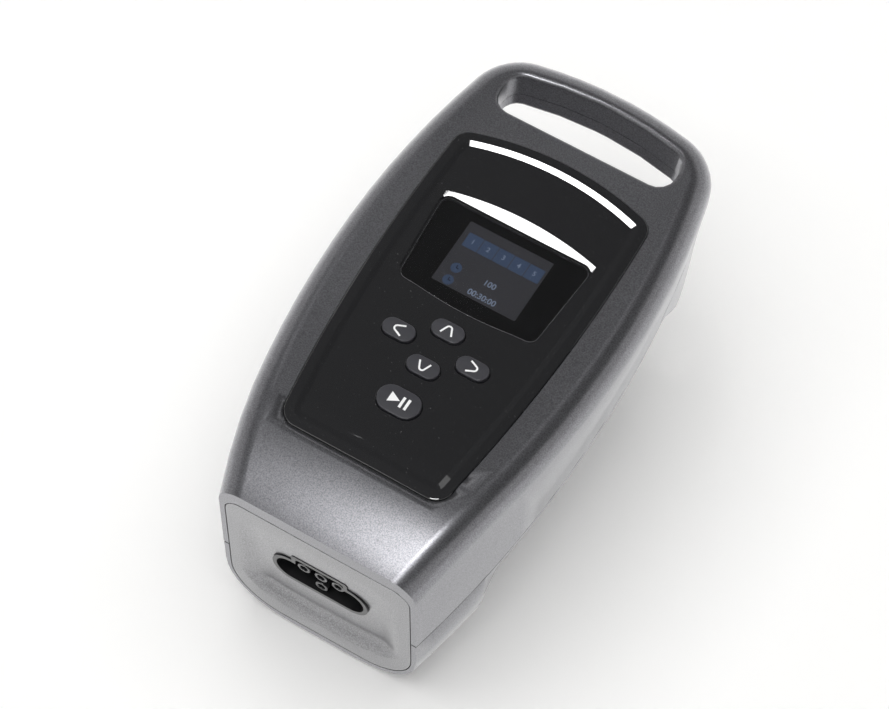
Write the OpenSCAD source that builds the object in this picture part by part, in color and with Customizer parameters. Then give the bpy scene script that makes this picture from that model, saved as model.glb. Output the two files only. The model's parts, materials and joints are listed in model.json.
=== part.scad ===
// Air pump for compression sleeves: a hand-carried wedge with a through handle,
// an inlaid control fascia, and a dished front plate with a keyed air port.
// Millimetres. The body rests on its feet at z = 0, its front faces -Y, and the
// origin lies under the middle of its length and width.

/* [Body] */
// Length from the front face to the back of the handle
body_length = 242; // [236:1:250]
// Half of the greatest width
half_width = 67.2; // [66:0.2:69]
// Distance of the widest section from the front face
widest_y = 133; // [126:1:140]
// Radius of the side outline ahead of the widest section
side_r_front = 442; // [420:2:470]
// Radius of the side outline behind the widest section
side_r_rear = 370; // [350:2:400]
// Radius of the arched back end, seen from above
back_r = 190; // [170:2:220]
// Radius of the two rear corners, seen from above
corner_r = 26; // [23:0.5:28]
// Height of the flat part of the top
top_z = 111.6; // [110:0.2:114]
// How far the top falls towards the front edge
front_drop = 14; // [11:0.5:15]
// Length over which the top falls
front_drop_length = 48; // [44:1:52]
// How far the top falls from its middle line to its widest edge
crown = 1.2; // [0.8:0.1:1.5]
// Radius of the rounding between the top and the sides
edge_r = 11; // [9:0.5:12]
// Side walls of both housings
wall = 2.6; // [2.2:0.1:3]

/* [Parting line] */
// Height of the parting line at the front face
seam_front_z = 47.2; // [45:0.2:49]
// How far the parting line lies below the top along the handle
seam_drop = 11; // [10.4:0.2:12]
// Where the parting line levels out, from the back of the handle
seam_level_length = 21; // [16:1:26]
// Width of the fine groove between the two housings
seam_gap = 0.3; // [0.2:0.05:0.4]

/* [Lower housing] */
// Height of the underside above the table
belly_z = 2.5; // [2.2:0.1:3]
// Length of the full-width front block
block_length = 36; // [32:1:40]
// Length of the curved step behind the front block
step_length = 10; // [8:1:14]
// How far the hull draws in between its edge and its underside
hull_inset = 24; // [21:0.5:26]
// Half of the flat keel along the underside
keel_half = 20; // [17:0.5:22]
// Length over which the rear wall rises from the underside to the handle
rise_length = 42; // [39:1:46]
// Height of the handle, from its underside to the top
handle_h = 19.6; // [18.6:0.2:20.6]

/* [Handle slot] */
// Width of the grip behind the finger slot, on the middle line
grip_w = 11.6; // [10.6:0.2:14]
// Width of the finger slot, front to back
slot_w = 23.6; // [22:0.2:25]
// Width of the handle's ends, from the slot to the widest part of the body
handle_end_w = 24.8; // [23.2:0.2:27.2]
// Radius of the corners of the slot
slot_corner_r = 8; // [6:0.5:9]
// Radius of the rounded rims of the slot
slot_rim_r = 2; // [1.4:0.1:2.4]

/* [Fascia] */
// Thickness of the fascia
fascia_t = 2.5; // [2.2:0.1:2.8]
// Front edge of the fascia
fascia_front_y = 33.5; // [32:0.5:36]
// Width of the housing between the fascia and the finger slot
fascia_back_land = 10.4; // [9.8:0.2:12.8]
// Width of the housing beside the fascia, at the widest part of the body
fascia_side_land = 19.8; // [18.2:0.2:21]
// Radius of the corners of the fascia
fascia_corner_r = 8; // [7.6:0.2:10]
// Width of the raised rim round the fascia
fascia_rim_w = 4.2; // [3.6:0.1:4.4]
// Width of the ramp inside the rim
fascia_ramp_w = 2.6; // [2:0.1:2.8]
// Depth of the fascia's floor below its rim
fascia_tray = 0.4; // [0.3:0.05:0.6]
// Gap round the fascia
fascia_gap = 0.3; // [0.2:0.05:0.5]
// Thickness of the deck that carries the fascia
deck_t = 2.6; // [2.3:0.1:3]

/* [Screen] */
// Front edge of the window at its corners
window_front_y = 115.7; // [114:0.2:117]
// Back edge of the window
window_back_y = 158; // [156:0.2:160]
// Half width of the window at its front edge
window_front_half = 32.5; // [31:0.25:34]
// Half width of the window at its back edge
window_back_half = 35.6; // [34.5:0.1:37]
// How far the window lies below the fascia's floor
window_depth = 0.8; // [0.5:0.05:1]
// Length of the sloping crescent behind the window, on the middle line
crescent_l = 6.5; // [5:0.25:8]
// Length of the crescent at its two ends
crescent_end_l = 2; // [1:0.25:3]
// Width of the display's visible area
display_w = 40; // [38:0.5:42]
// Length of the display's visible area
display_h = 32; // [30:0.5:33]
// Middle of the display
display_y = 137.4; // [136:0.2:139]

/* [Keys] */
// Middle of the group of four arrow keys
arrows_y = 92.25; // [90:0.25:94]
// Distance of the left and right keys from the middle line
arrow_dx = 17.5; // [16.5:0.25:19]
// Distance of the up and down keys from the middle of the group
arrow_dy = 9.7; // [9:0.1:11]
// Width of an arrow key
arrow_w = 15.1; // [14:0.1:16]
// Length of an arrow key along the body
arrow_h = 9; // [8:0.1:9.6]
// Middle of the start key
start_y = 63.9; // [62:0.1:66]
// Width of the start key
start_w = 19.9; // [18:0.1:22]
// Length of the start key along the body
start_h = 12.9; // [11.5:0.1:14]
// Height of the keys above the fascia's floor
key_proud = 1.6; // [1.2:0.1:2]
// Travel of a key
key_travel = 0.9; // [0.6:0.1:1.2]
// Gap round a key in the fascia
key_gap = 0.25; // [0.15:0.05:0.4]

/* [Front plate] */
// Width of the housing's rim beside the front plate
plate_side_rim = 2.9; // [2.4:0.1:3.8]
// How far the upper edge of the front plate lies below the top
plate_top_drop = 22.6; // [21.6:0.2:24]
// Bottom of the front plate
plate_bottom_z = 6.2; // [5.8:0.2:7]
// Radius of the upper corners of the front plate
plate_top_r = 8; // [6:0.5:10]
// Radius of the lower corners of the front plate
plate_bottom_r = 24; // [20:1:27]
// Thickness of the front plate
plate_t = 2.4; // [2:0.1:2.8]
// Gap round the front plate
plate_gap = 0.4; // [0.3:0.05:0.6]
// Greatest depth of the dish in the front plate
dish_depth = 4.2; // [3:0.1:5]

/* [Air port] */
// Height of the middle of the air port
port_z = 54; // [52:0.5:56]
// Half width of the recess
port_half = 21; // [20.4:0.1:22]
// Height of the recess
port_h = 14.6; // [14:0.1:16]
// Depth of the recess behind its rim
port_depth = 13; // [11:0.5:15]
// Half width of the raised key at the top of the recess
port_key_half = 11.5; // [10:0.25:13]
// Rise of the key above the recess
port_key_rise = 4.2; // [3:0.1:4.6]
// Distance between neighbouring upper nozzles
nozzle_pitch = 8.2; // [7.8:0.1:8.8]
// Outer radius of a nozzle
nozzle_r = 3; // [2.6:0.1:3.2]
// Bore radius of a nozzle
nozzle_bore_r = 1.75; // [1.5:0.05:2]

/* [Pump] */
// Outer radius of the motor
motor_r = 16; // [14:0.5:17]
// Length of the motor
motor_length = 42; // [38:1:46]
// Space between the pump and the main board
pump_clearance = 3.4; // [2.6:0.2:4.4]
// Radius of the motor's shaft
shaft_r = 1.6; // [1.2:0.1:2]
// Width of the pump head
head_w = 34; // [30:1:36]
// Length of the pump head
head_length = 28; // [26:1:30]
// Outer radius of the supply hose
hose_r = 3.6; // [3.2:0.1:4]
// Stroke of a valve's plunger
valve_stroke = 1.2; // [0.8:0.1:1.5]

/* [Battery and power] */
// Width of the battery pack
battery_w = 50; // [44:1:52]
// Length of the battery pack
battery_length = 70; // [62:1:72]
// Height of the battery pack
battery_h = 20; // [18:0.5:21]
// Height of the power inlet
inlet_z = 52; // [48:1:56]
// Radius of the power inlet's socket
inlet_r = 3.1; // [2.8:0.1:3.4]

/* [Feet] */
// Radius of a foot
foot_r = 6; // [5:0.5:7]
// Distance of the feet from the middle line
foot_x = 25; // [23:0.5:26]
// Distance of the front feet from the front face
foot_front_y = 16; // [14:1:20]
// Distance of the rear feet from the front face
foot_rear_y = 152; // [146:1:156]

/* [Hidden] */

slot_far_y = body_length - grip_w;
slot_near_y = slot_far_y - slot_w;
slot_half = half_width - handle_end_w;
seam_back_z = top_z - seam_drop;
seam_level_y = body_length - seam_level_length;
handle_under_z = top_z - handle_h;
rise_end_y = slot_near_y + 0.2;
rise_start_y = rise_end_y - rise_length;
fascia_back_y = slot_near_y - fascia_back_land;
fascia_half = half_width - fascia_side_land;

$fn = 48;
fit = 0.1;             // clearance between seated pieces
seat = 0.2;            // clearance under boards and covers
round_steps = 8;       // facets of a rounded edge in a loft
eps = 0.01;

// ---------------------------------------------------------------- geometry

function lerp(a, b, t) = a + (b - a) * t;
function clamp01(t) = min(1, max(0, t));
// 0 to 1 with level ends
function ease(t) = let(u = clamp01(t)) u * u * (3 - 2 * u);
function arc(c, r, a0, a1, n) = [for (i = [0:n]) c + r * [cos(lerp(a0, a1, i / n)), sin(lerp(a0, a1, i / n))]];
function reversed(list) = [for (i = [len(list) - 1:-1:0]) list[i]];
// a half outline followed by its mirror image
function with_mirror(half) = concat(half, [for (p = reversed(half)) len(p) == 3 ? [-p.x, p.y, p.z] : [-p.x, p.y]]);
// meeting point of two circles, on the side that lies clockwise of c0 -> c1
function circles_meet(c0, r0, c1, r1) =
    let(d = norm(c1 - c0), u = (c1 - c0) / d, a = (d * d + r0 * r0 - r1 * r1) / (2 * d), h = sqrt(r0 * r0 - a * a))
    c0 + a * u + h * [u.y, -u.x];
function heading(v) = atan2(v.y, v.x);

// The plan outline is made of four arcs on each side: two along the side, the
// rear corner and the back. Each arc keeps its centre when the outline is inset.
side_front_c = [half_width - side_r_front, widest_y];
side_rear_c = [half_width - side_r_rear, widest_y];
back_c = [0, body_length - back_r];
corner_c = circles_meet(back_c, back_r - corner_r, side_rear_c, side_r_rear - corner_r);
corner_a0 = heading(corner_c - side_rear_c);
corner_a1 = heading(corner_c - back_c);
back_tip_x = 7;        // the outermost rib of the loft lies this far from the middle line

function side_x(y, inset = 0) =
    let(front = y < widest_y, r = (front ? side_r_front : side_r_rear) - inset, c = front ? side_front_c : side_rear_c)
    c.x + sqrt(r * r - pow(y - c.y, 2));

// right half of the outline from the front face to the back, inset by a distance
function half_outline(inset = 0) = concat(
    [for (i = [0:9]) let(y = widest_y * i / 9) [side_x(y, inset), y]],
    [for (i = [1:5]) side_rear_c + (side_r_rear - inset) * [cos(corner_a0 * i / 6), sin(corner_a0 * i / 6)]],
    arc(corner_c, corner_r - inset, corner_a0, corner_a1, 8),
    [for (i = [1:3]) let(a = lerp(corner_a1, 90 - asin(back_tip_x / back_r), i / 3))
        back_c + (back_r - inset) * [cos(a), sin(a)]]);

// height of the top surface
function top_at(x, y) =
    top_z - front_drop * pow(clamp01(1 - y / front_drop_length), 2) - crown * pow(x / half_width, 2);
// height of the parting line
seam_slope = (seam_back_z - seam_front_z) / seam_level_y;
seam_blend = 24;       // length over which the parting line turns level
function seam_at(y) =
    let(t = (y - seam_level_y) / seam_blend)
    t < -1 ? seam_front_z + seam_slope * y
    : t < 1 ? seam_back_z - seam_slope * seam_blend * pow(1 - t, 2) / 4
    : seam_back_z;

// a solid through ribs that all have the same even number of points; point j and
// point n-1-j of a rib face each other across the middle
module loft(ribs) {
    n = len(ribs[0]);
    m = len(ribs);
    points = [for (rib = ribs) each rib];
    sides = [for (i = [0:m - 2]) for (j = [0:n - 1]) let(k = (j + 1) % n)
        each [[i * n + j, (i + 1) * n + j, (i + 1) * n + k], [i * n + j, (i + 1) * n + k, i * n + k]]];
    first = [for (j = [0:n / 2 - 2]) each [[j, j + 1, n - 2 - j], [j, n - 2 - j, n - 1 - j]]];
    last = [for (j = [0:n / 2 - 2]) let(o = (m - 1) * n) each [[o + n - 2 - j, o + j + 1, o + j], [o + n - 1 - j, o + n - 2 - j, o + j]]];
    polyhedron(points, concat(sides, first, last), convexity = 8);
}

module stadium(w, h, grow = 0) {
    r = h / 2 + grow;
    dx = (w - h) / 2;
    square([2 * dx, 2 * r], center = true);
    for (s = [-1, 1]) translate([s * dx, 0]) circle(r);
}

module rounded_box(size, r) {
    linear_extrude(size.z) {
        square([size.x - 2 * r, size.y], center = true);
        square([size.x, size.y - 2 * r], center = true);
        for (sx = [-1, 1], sy = [-1, 1])
            translate([sx * (size.x / 2 - r), sy * (size.y / 2 - r)]) circle(r);
    }
}

// places what is drawn from the front face backwards
module from_front() {
    translate([0, -body_length / 2, 0]) children();
}

// ------------------------------------------------------------ body surfaces

columns = 5;           // points across half of the top surface

// one rib over the top: up the right side, across the crown, down the left
function top_rib(edges, x_in, y_in, drop = 0) =
    let(across = [for (k = [1:columns]) let(x = x_in * (1 - k / (columns + 0.5))) [x, y_in, top_at(x, y_in) - drop]],
        half = concat(edges, across))
    with_mirror(half);

// the body above the parting line: side walls, rounded edge and crowned top
module upper_form() {
    outlines = [for (k = [0:round_steps]) half_outline(edge_r * (1 - cos(90 * k / round_steps)))];
    count = len(outlines[0]);
    ribs = [for (i = [0:count - 1])
        let(inner = outlines[round_steps][i],
            wall_points = [for (k = [0:round_steps])
                let(p = outlines[k][i])
                [p.x, p.y, top_at(inner.x, inner.y) - edge_r * (1 - sin(90 * k / round_steps))]],
            foot = outlines[0][i])
        top_rib(concat([[foot.x, foot.y, seam_at(foot.y) + seam_gap / 2]], wall_points), inner.x, inner.y)];
    loft(reversed(ribs));
}

cavity_back_y = slot_near_y - slot_rim_r - 4;   // the main cavity ends ahead of the slot
front_wall = plate_t + 2.2;                     // front wall, with the ledge that carries the front plate

// the hollow of the upper housing, from below the parting line up to the deck
module upper_hollow() {
    drop = fascia_t + deck_t;
    r = edge_r - wall;
    steps = 4;
    stations = 12;
    ribs = [for (i = [0:stations])
        let(y = lerp(front_wall, cavity_back_y, i / stations), x_out = side_x(y, wall), x_in = x_out - r)
        top_rib(concat([[x_out, y, seam_at(y) - 2]],
                [for (k = [0:steps]) [x_out - r * (1 - cos(90 * k / steps)), y,
                    top_at(x_in, y) - drop - r * (1 - sin(90 * k / steps))]]),
            x_in, y, drop)];
    loft(reversed(ribs));
}

// height of the underside along the middle line
function belly_at(y) = lerp(belly_z, handle_under_z, ease((y - rise_start_y) / (rise_end_y - rise_start_y)));
// 0 in the front block, 1 in the hull behind it
function hull_share(y) = ease((y - block_length) / step_length);

hull_steps = 9;        // facets of the hull's curve
lip_front = 15;        // upright part of the side under the parting line, front block
lip_hull = 3;          // the same in the hull
block_inset = 1.4;     // how far the front block draws in
block_keel = 12;       // half of the flat underside of the front block
handle_under_r = 5;    // rounding of the underside of the handle

// The underside is one skin. Each rib goes down the right side along a curve with
// three control points, each a pair of inset and height, and up the left. Towards
// the handle the curve shrinks to the rounded edge of the grip.
function rib_controls(y, edge, base) =
    let(share = hull_share(y), grip = ease((y - rise_start_y) / (rise_end_y - rise_start_y)),
        floor_z = belly_at(y + base) + base, top = seam_at(y),
        lip = lerp(min(lerp(lip_front, lip_hull, share), (top - floor_z) * 0.6), 0, grip),
        start_z = lerp(top - lip, min(top, floor_z + handle_under_r), grip),
        flat = lerp(lerp(block_keel, keel_half, share), edge - handle_under_r, grip))
    [[0, start_z], [lerp(lerp(block_inset, hull_inset, share), 0, grip), floor_z], [edge - flat, floor_z]];
function curve_at(c, t) = pow(1 - t, 2) * c[0] + 2 * t * (1 - t) * c[1] + t * t * c[2];
// height of such a curve at a distance in from the side; past its end it is level
function curve_height(c, inset) =
    let(b = 2 * c[1].x, a = c[2].x - b, t = (sqrt(b * b + 4 * a * min(inset, c[2].x)) - b) / (2 * a))
    curve_at(c, clamp01(t)).y;
// height of the hull's inner floor
function floor_at(x, y) = let(edge = side_x(y, wall)) curve_height(rib_controls(y, edge, wall), edge - x);
// distance of the rear wall's outer face from the front face at a height
function rear_wall_y(z) =
    let(share = (z - belly_z) / (handle_under_z - belly_z))
    lerp(rise_start_y, rise_end_y, 0.5 - sin(asin(1 - 2 * share) / 3));

hull_stations = concat(
    [for (i = [0:3]) block_length * i / 4], [for (i = [0:4]) block_length + step_length * i / 4],
    [for (i = [1:7]) lerp(block_length + step_length, rise_start_y, i / 7)],
    [for (i = [1:10]) lerp(rise_start_y, rise_end_y, i / 10)]);

// a rib at one distance from the front face
function hull_rib(y, inset, base, top) =
    let(edge = side_x(y, inset), c = rib_controls(y, edge, base))
    with_mirror(concat([[edge, y, top]],
        [for (k = [0:hull_steps]) let(q = curve_at(c, k / hull_steps)) [edge - q.x, y, q.y]]));

// the skin below the parting line, with the underside of the handle
module lower_form() {
    outer = half_outline(seam_gap / 2);
    c = rib_controls(body_length, handle_under_r, 0);
    rings = [for (k = [0:hull_steps]) half_outline(seam_gap / 2 + curve_at(c, k / hull_steps).x)];
    behind = [for (i = [0:len(outer) - 1]) if (outer[i].y > rise_end_y + 3) i];
    loft(concat(
        [for (y = hull_stations) hull_rib(y, seam_gap / 2, 0, seam_at(y) - seam_gap / 2)],
        [for (i = behind) with_mirror(concat([[outer[i].x, outer[i].y, seam_at(outer[i].y) - seam_gap / 2]],
            [for (k = [0:hull_steps]) [rings[k][i].x, rings[k][i].y, curve_at(c, k / hull_steps).y]]))]));
}

lower_hollow_back_y = rise_end_y - 9;
module lower_hollow() {
    ys = [for (y = hull_stations) if (y > front_wall + 1 && y < lower_hollow_back_y - 1) y];
    loft([for (y = concat([front_wall], ys, [lower_hollow_back_y])) hull_rib(y, wall, wall, seam_at(y) + 2)]);
}

// the finger slot with rounded rims above and below, narrowing slightly downwards
slot_far_r = 163;      // radius of the slot's arched far edge
slot_draft = 3;        // the far edge comes nearer by this much at the underside
module slot_cut() {
    function ring_half(grow, draft) =
        let(far = slot_far_y - draft, r = slot_corner_r, x = slot_half - r, far_c = [0, far - slot_far_r],
            corner = [x, far_c.y + sqrt(pow(slot_far_r - r, 2) - x * x)], a = heading(corner - far_c))
        concat(arc([x, slot_near_y + r], r + grow, -90, 0, 4), arc(corner, r + grow, 0, a, 4),
            [for (i = [1:2]) let(b = lerp(a, 89, i / 2)) far_c + (slot_far_r + grow) * [cos(b), sin(b)]]);
    levels = concat([[slot_rim_r, -8]],
        [for (k = [0:3]) [slot_rim_r * (1 - sin(30 * k)), slot_rim_r * (1 - cos(30 * k))]]);
    under = [for (l = levels) [for (p = ring_half(l[0], slot_draft)) [p.x, p.y, handle_under_z + l[1]]]];
    over = [for (l = reversed(levels)) [for (p = ring_half(l[0], 0)) [p.x, p.y, top_at(p.x, p.y) - l[1]]]];
    loft([for (half = concat(under, over)) with_mirror(half)]);
}

// ------------------------------------------------------------------ fascia

fascia_side_r = 725;   // radius of the fascia's long sides
fascia_widest_y = 148;
fascia_back_r = 140;
fascia_proud = 0.2;    // the fascia's rim stands this far above the housing
fascia_floor_z = top_z - crown * pow(fascia_half / half_width, 2) - fascia_t;
function fascia_floor_at(y) = top_at(fascia_half, y) - fascia_t;
deck_under_z = top_z - fascia_t - deck_t;
over_top = 10;         // cutting shapes reach this far above the top

fascia_side_c = [fascia_half - fascia_side_r, fascia_widest_y];
fascia_back_c = [0, fascia_back_y - fascia_back_r];
fascia_front_corner = let(y = fascia_front_y + fascia_corner_r)
    [fascia_side_c.x + sqrt(pow(fascia_side_r - fascia_corner_r, 2) - pow(y - fascia_widest_y, 2)), y];
fascia_back_corner = circles_meet(fascia_back_c, fascia_back_r - fascia_corner_r,
    fascia_side_c, fascia_side_r - fascia_corner_r);

// right half of the fascia's outline from front to back, inset by a distance
function fascia_half_outline(inset = 0) =
    let(r = fascia_corner_r - inset, side_a0 = heading(fascia_front_corner - fascia_side_c),
        side_a1 = heading(fascia_back_corner - fascia_side_c), back_a = heading(fascia_back_corner - fascia_back_c))
    concat(arc(fascia_front_corner, r, -90, side_a0, 6),
        [for (i = [1:9]) let(a = lerp(side_a0, side_a1, i / 10))
            fascia_side_c + (fascia_side_r - inset) * [cos(a), sin(a)]],
        arc(fascia_back_corner, r, side_a1, back_a, 6),
        [for (i = [1:4]) let(a = lerp(back_a, 89, i / 4)) fascia_back_c + (fascia_back_r - inset) * [cos(a), sin(a)]]);

// the fascia's outline as an upright solid through the top
module fascia_column(inset = 0) {
    translate([0, 0, fascia_floor_z - front_drop - over_top]) linear_extrude(front_drop + 3 * over_top)
        polygon(with_mirror(fascia_half_outline(inset)));
}

// between the fascia's flat seat and a height above the top surface
module fascia_layer(above) {
    x = fascia_half + 4;
    ys = concat([for (i = [0:6]) lerp(fascia_front_y - 4, front_drop_length, i / 6)], [fascia_back_y + 6]);
    loft([for (y = reversed(ys)) with_mirror(concat([[x, y, fascia_floor_at(y)]],
        [for (k = [0:5]) let(u = x * (1 - k / 5.5)) [u, y, top_at(u, y) + above]]))]);
}

// what the rim and its ramp leave open, from below the fascia's floor upwards
module tray_room() {
    levels = [[fascia_rim_w + 1.2 * fascia_ramp_w, -1.2 * fascia_tray], [fascia_rim_w, 0], [fascia_rim_w, over_top]];
    loft([for (l = levels) with_mirror([for (p = fascia_half_outline(l[0]))
        [p.x, p.y, top_at(p.x, p.y) + fascia_proud + l[1]]])]);
}

window_corner_r = 4;
window_bow = 2.4;      // the window's front edge bulges forwards by this much
module window_outline(grow = 0) {
    r = window_corner_r;
    offset(r = r + grow, $fn = 32) offset(delta = -r) polygon(concat(
        [[window_back_half, window_back_y], [-window_back_half, window_back_y]],
        [for (i = [0:6]) let(u = -1 + i / 3) [u * window_front_half, window_front_y - window_bow * (1 - u * u)]]));
}

tray_z = top_z + fascia_proud - fascia_tray;   // floor of the fascia on the middle line
lens_top_z = tray_z - window_depth;
lip_w = 1;             // width of the stepped lip round the window

// The crescent behind the window slopes down from an arc to the window's back edge,
// where it is as deep as the window on the middle line.
crescent_half = window_back_half + 0.4;
crescent_slope = window_depth / crescent_l;
module crescent_cut() {
    y0 = window_back_y - 1;
    loft([for (i = [-6:6]) let(x = crescent_half * i / 6, y1 = window_back_y
            + lerp(crescent_l, crescent_end_l, pow(x / crescent_half, 2)), floor_z = tray_z + top_at(x, y1) - top_z)
        [[x, y0, floor_z - crescent_slope * (y1 - y0)], [x, y1 + 2, floor_z + crescent_slope * 2],
         [x, y1 + 2, top_z + over_top], [x, y0, top_z + over_top]]]);
}

// ------------------------------------------------------------------- keys

// [name, x, y, width, length]
keys = [
    ["left", -arrow_dx, arrows_y, arrow_w, arrow_h],
    ["right", arrow_dx, arrows_y, arrow_w, arrow_h],
    ["up", 0, arrows_y + arrow_dy, arrow_w, arrow_h],
    ["down", 0, arrows_y - arrow_dy, arrow_w, arrow_h],
    ["start", 0, start_y, start_w, start_h]
];
key_flange = 1.2;      // how far a key's flange reaches under the fascia
key_flange_t = 1.1;
key_well = 0.35;       // clearance of the flange in the deck
board_t = 1.6;
board_gap = 5.5;       // between the deck and the control board
board_top_z = deck_under_z - board_gap;
switch_size = 6;
switch_h = 3.6;
switch_button_h = 0.5;
switch_button_top = board_top_z + switch_h + switch_button_h;
key_stem_bottom = switch_button_top + key_travel + 0.15;
key_crown_r = 30;      // radius of a key's crowned top

module key(k) {
    seat_z = fascia_floor_z - fit;
    cap_top = tray_z + key_proud;
    translate([k[1], k[2], 0]) {
        intersection() {
            translate([0, 0, seat_z]) linear_extrude(cap_top - seat_z) stadium(k[3], k[4], -key_gap);
            translate([0, 0, cap_top - key_crown_r]) rotate([0, 90, 0])
                cylinder(h = 2 * k[3], r = key_crown_r, center = true, $fn = 96);
        }
        translate([0, 0, seat_z - key_flange_t]) linear_extrude(key_flange_t)
            stadium(k[3], k[4], key_flange - key_gap);
        translate([0, 0, key_stem_bottom]) cylinder(h = seat_z - key_stem_bottom, r = 1.6);
    }
}

module key_holes(grow, z0, z1) {
    for (k = keys) translate([k[1], k[2], z0]) linear_extrude(z1 - z0) stadium(k[3], k[4], grow);
}

// ------------------------------------------------------------ front plate

plate_half = side_x(0) - plate_side_rim;
plate_top_z = top_z - plate_top_drop;
dish_top_z = plate_top_z - 6;
dish_lip_z = plate_bottom_z + 8.5;
dish_lip_rise = 11;    // the lip climbs by this much towards the sides
dish_top_fall = 5;     // the upper end of the dish falls by this much towards the sides
dish_half = plate_half - 4.8;
dish_level = dish_half - 12;   // the dish is level across up to this distance from the middle
dish_skim = 0.04;      // the dish's surface starts this far ahead of the plate's face
dish_columns = concat([for (i = [0:5]) lerp(dish_half, dish_level, i / 5)],
    [for (i = [1:3]) lerp(dish_level, 1, i / 3)]);
dish_rows = [0, 0.03, 0.06, 0.09, 0.12, 0.15, 0.3, 0.5, 0.7, 0.85, 0.95, 1];
dish_ledge = 0.13;     // share of the dish's height that its sloping ledge takes
function dish_z(x, v) =
    lerp(dish_lip_z + dish_lip_rise * pow(x / dish_half, 4), dish_top_z - dish_top_fall * pow(x / dish_half, 2), v);
function dish_at(x, v) =
    let(f = v < dish_ledge ? ease(v / dish_ledge) : (1 - v) / (1 - dish_ledge) * (1.08 - 0.08 * (1 - v)))
    dish_depth * f * (1 - ease((abs(x) - dish_level) / (dish_half - dish_level))) - dish_skim;

// the dish as a solid from a plane back to its surface, moved back by a distance
module dish_solid(plane_y, shift) {
    loft([for (v = dish_rows) with_mirror(concat(
        [[dish_half, plane_y, dish_z(dish_half, v)]],
        [for (x = dish_columns) [x, dish_at(x, v) + shift, dish_z(x, v)]]))]);
}

module plate_outline(grow = 0) {
    rb = plate_bottom_r;
    rt = plate_top_r;
    polygon(with_mirror(concat(
        arc([plate_half - rb, plate_bottom_z + rb], rb + grow, -90, 0, 14),
        arc([plate_half - rt, plate_top_z - rt], rt + grow, 0, 90, 8))));
}
// extrudes a front outline, drawn as x and z, from one depth to another
module from_face(y0, y1) {
    translate([0, y1, 0]) rotate([90, 0, 0]) linear_extrude(y1 - y0) children();
}

port_rim_y = 0.8;      // the socket's rim lies this far behind the front face
port_wall = 2;
module port_outline(grow = 0) {
    translate([0, port_z]) stadium(2 * port_half, port_h, grow);
    key_top = port_z + port_h / 2 + port_key_rise + grow;
    r = 1.6;
    translate([0, port_z]) polygon(with_mirror(concat(
        [[port_key_half + grow, 0]],
        arc([port_key_half + grow - r, key_top - port_z - r], r, 0, 90, 6))));
}

nozzle_row_up = 5;     // upper row above the middle of the recess
nozzle_row_down = -3.2;
nozzle_places = [[-nozzle_pitch, nozzle_row_up], [0, nozzle_row_up], [nozzle_pitch, nozzle_row_up], [0, nozzle_row_down]];
nozzle_tip_y = port_rim_y + 1;
port_floor_y = port_rim_y + port_depth;
port_back_y = port_floor_y + 2.4;
tail_r = nozzle_r - 0.6;
nozzle_tail = 9;       // a nozzle's tail reaches this far into its tube
nipple_l = 7;          // and the manifold's nipple this far from the other end
tail_end_y = port_back_y + nozzle_tail;
manifold_y = tail_end_y + 3 + nipple_l;
manifold_depth = 14;
manifold_half = 31;
manifold_h = 16;

// a round bar along Y
module bar_y(x, z, r, y0, y1, sides = 48) {
    translate([x, y1, z]) rotate([90, 0, 0]) cylinder(h = y1 - y0, r = r, $fn = sides);
}

module nozzle(i) {
    p = nozzle_places[i];
    difference() {
        union() {
            bar_y(p.x, port_z + p.y, nozzle_r, nozzle_tip_y, port_floor_y);
            bar_y(p.x, port_z + p.y, tail_r, port_floor_y - eps, tail_end_y);
        }
        bar_y(p.x, port_z + p.y, nozzle_bore_r, nozzle_tip_y - 1, tail_end_y + 1);
    }
}

// ---------------------------------------------------------- fixing points

post_dx = display_w / 2 + 6;
board_posts = [for (y = [start_y - 5.9, window_front_y - 7.7, display_y + 26.6]) each [[-post_dx, y], [post_dx, y]]];
main_board_w = 84;
main_board_l = 64;
main_board_y = 128;
main_board_drop = 14.4;   // the main board hangs this far below the control board
main_board_z = board_top_z - board_t - main_board_drop;
main_posts = [for (sy = [-1, 1], sx = [-1, 1])
    [sx * (main_board_w / 2 - 4), main_board_y + sy * (main_board_l / 2 - 8)]];
post_r = 2.6;
pilot_r = 1.2;
boss_r = 5;            // bosses of the front screws
boss_x = plate_half - 9.8;
boss_y = 24;
front_screws = [[-boss_x, boss_y], [boss_x, boss_y]];
boss_foot_z = floor_at(boss_x + boss_r / 2, boss_y) - 0.6;   // the bosses rise from within the hull's wall
handle_screw_x = slot_half + 8.1;
handle_screw_y = body_length - 26;
handle_screws = [[-handle_screw_x, handle_screw_y], [handle_screw_x, handle_screw_y]];
screw_shank_r = 1.5;
screw_head_r = 3;
front_screw_seat_z = seam_front_z - 3.2;   // the front screws bear here, inside deep wells
handle_screw_seat_z = handle_under_z + 3;
screw_reach = 12;      // how far a case screw enters the upper housing
feet = [for (y = [foot_front_y, foot_rear_y]) each [[-foot_x, y], [foot_x, y]]];
foot_h = 3.2;
foot_boss_z = 1.2;     // underside of the rings round the feet

rib_foot_z = belly_z + wall - 0.4;   // ribs on the floor start just inside it
battery_front_y = 58;
battery_z = 9;         // the battery rests on ribs at this height
strap_y = battery_front_y + battery_length / 2;
strap_w = 12;
strap_t = 1;
strap_play = 0.3;      // clearance of the strap beside the battery
strap_foot_z = 15;     // the strap's feet rest on pads at this height
strap_foot = 6;
strap_pad_x = battery_w / 2 + strap_play + strap_t + strap_foot / 2;
strap_pad_z = floor_at(strap_pad_x, strap_y) - 0.8;   // the pads rise from within the hull's wall

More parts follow.
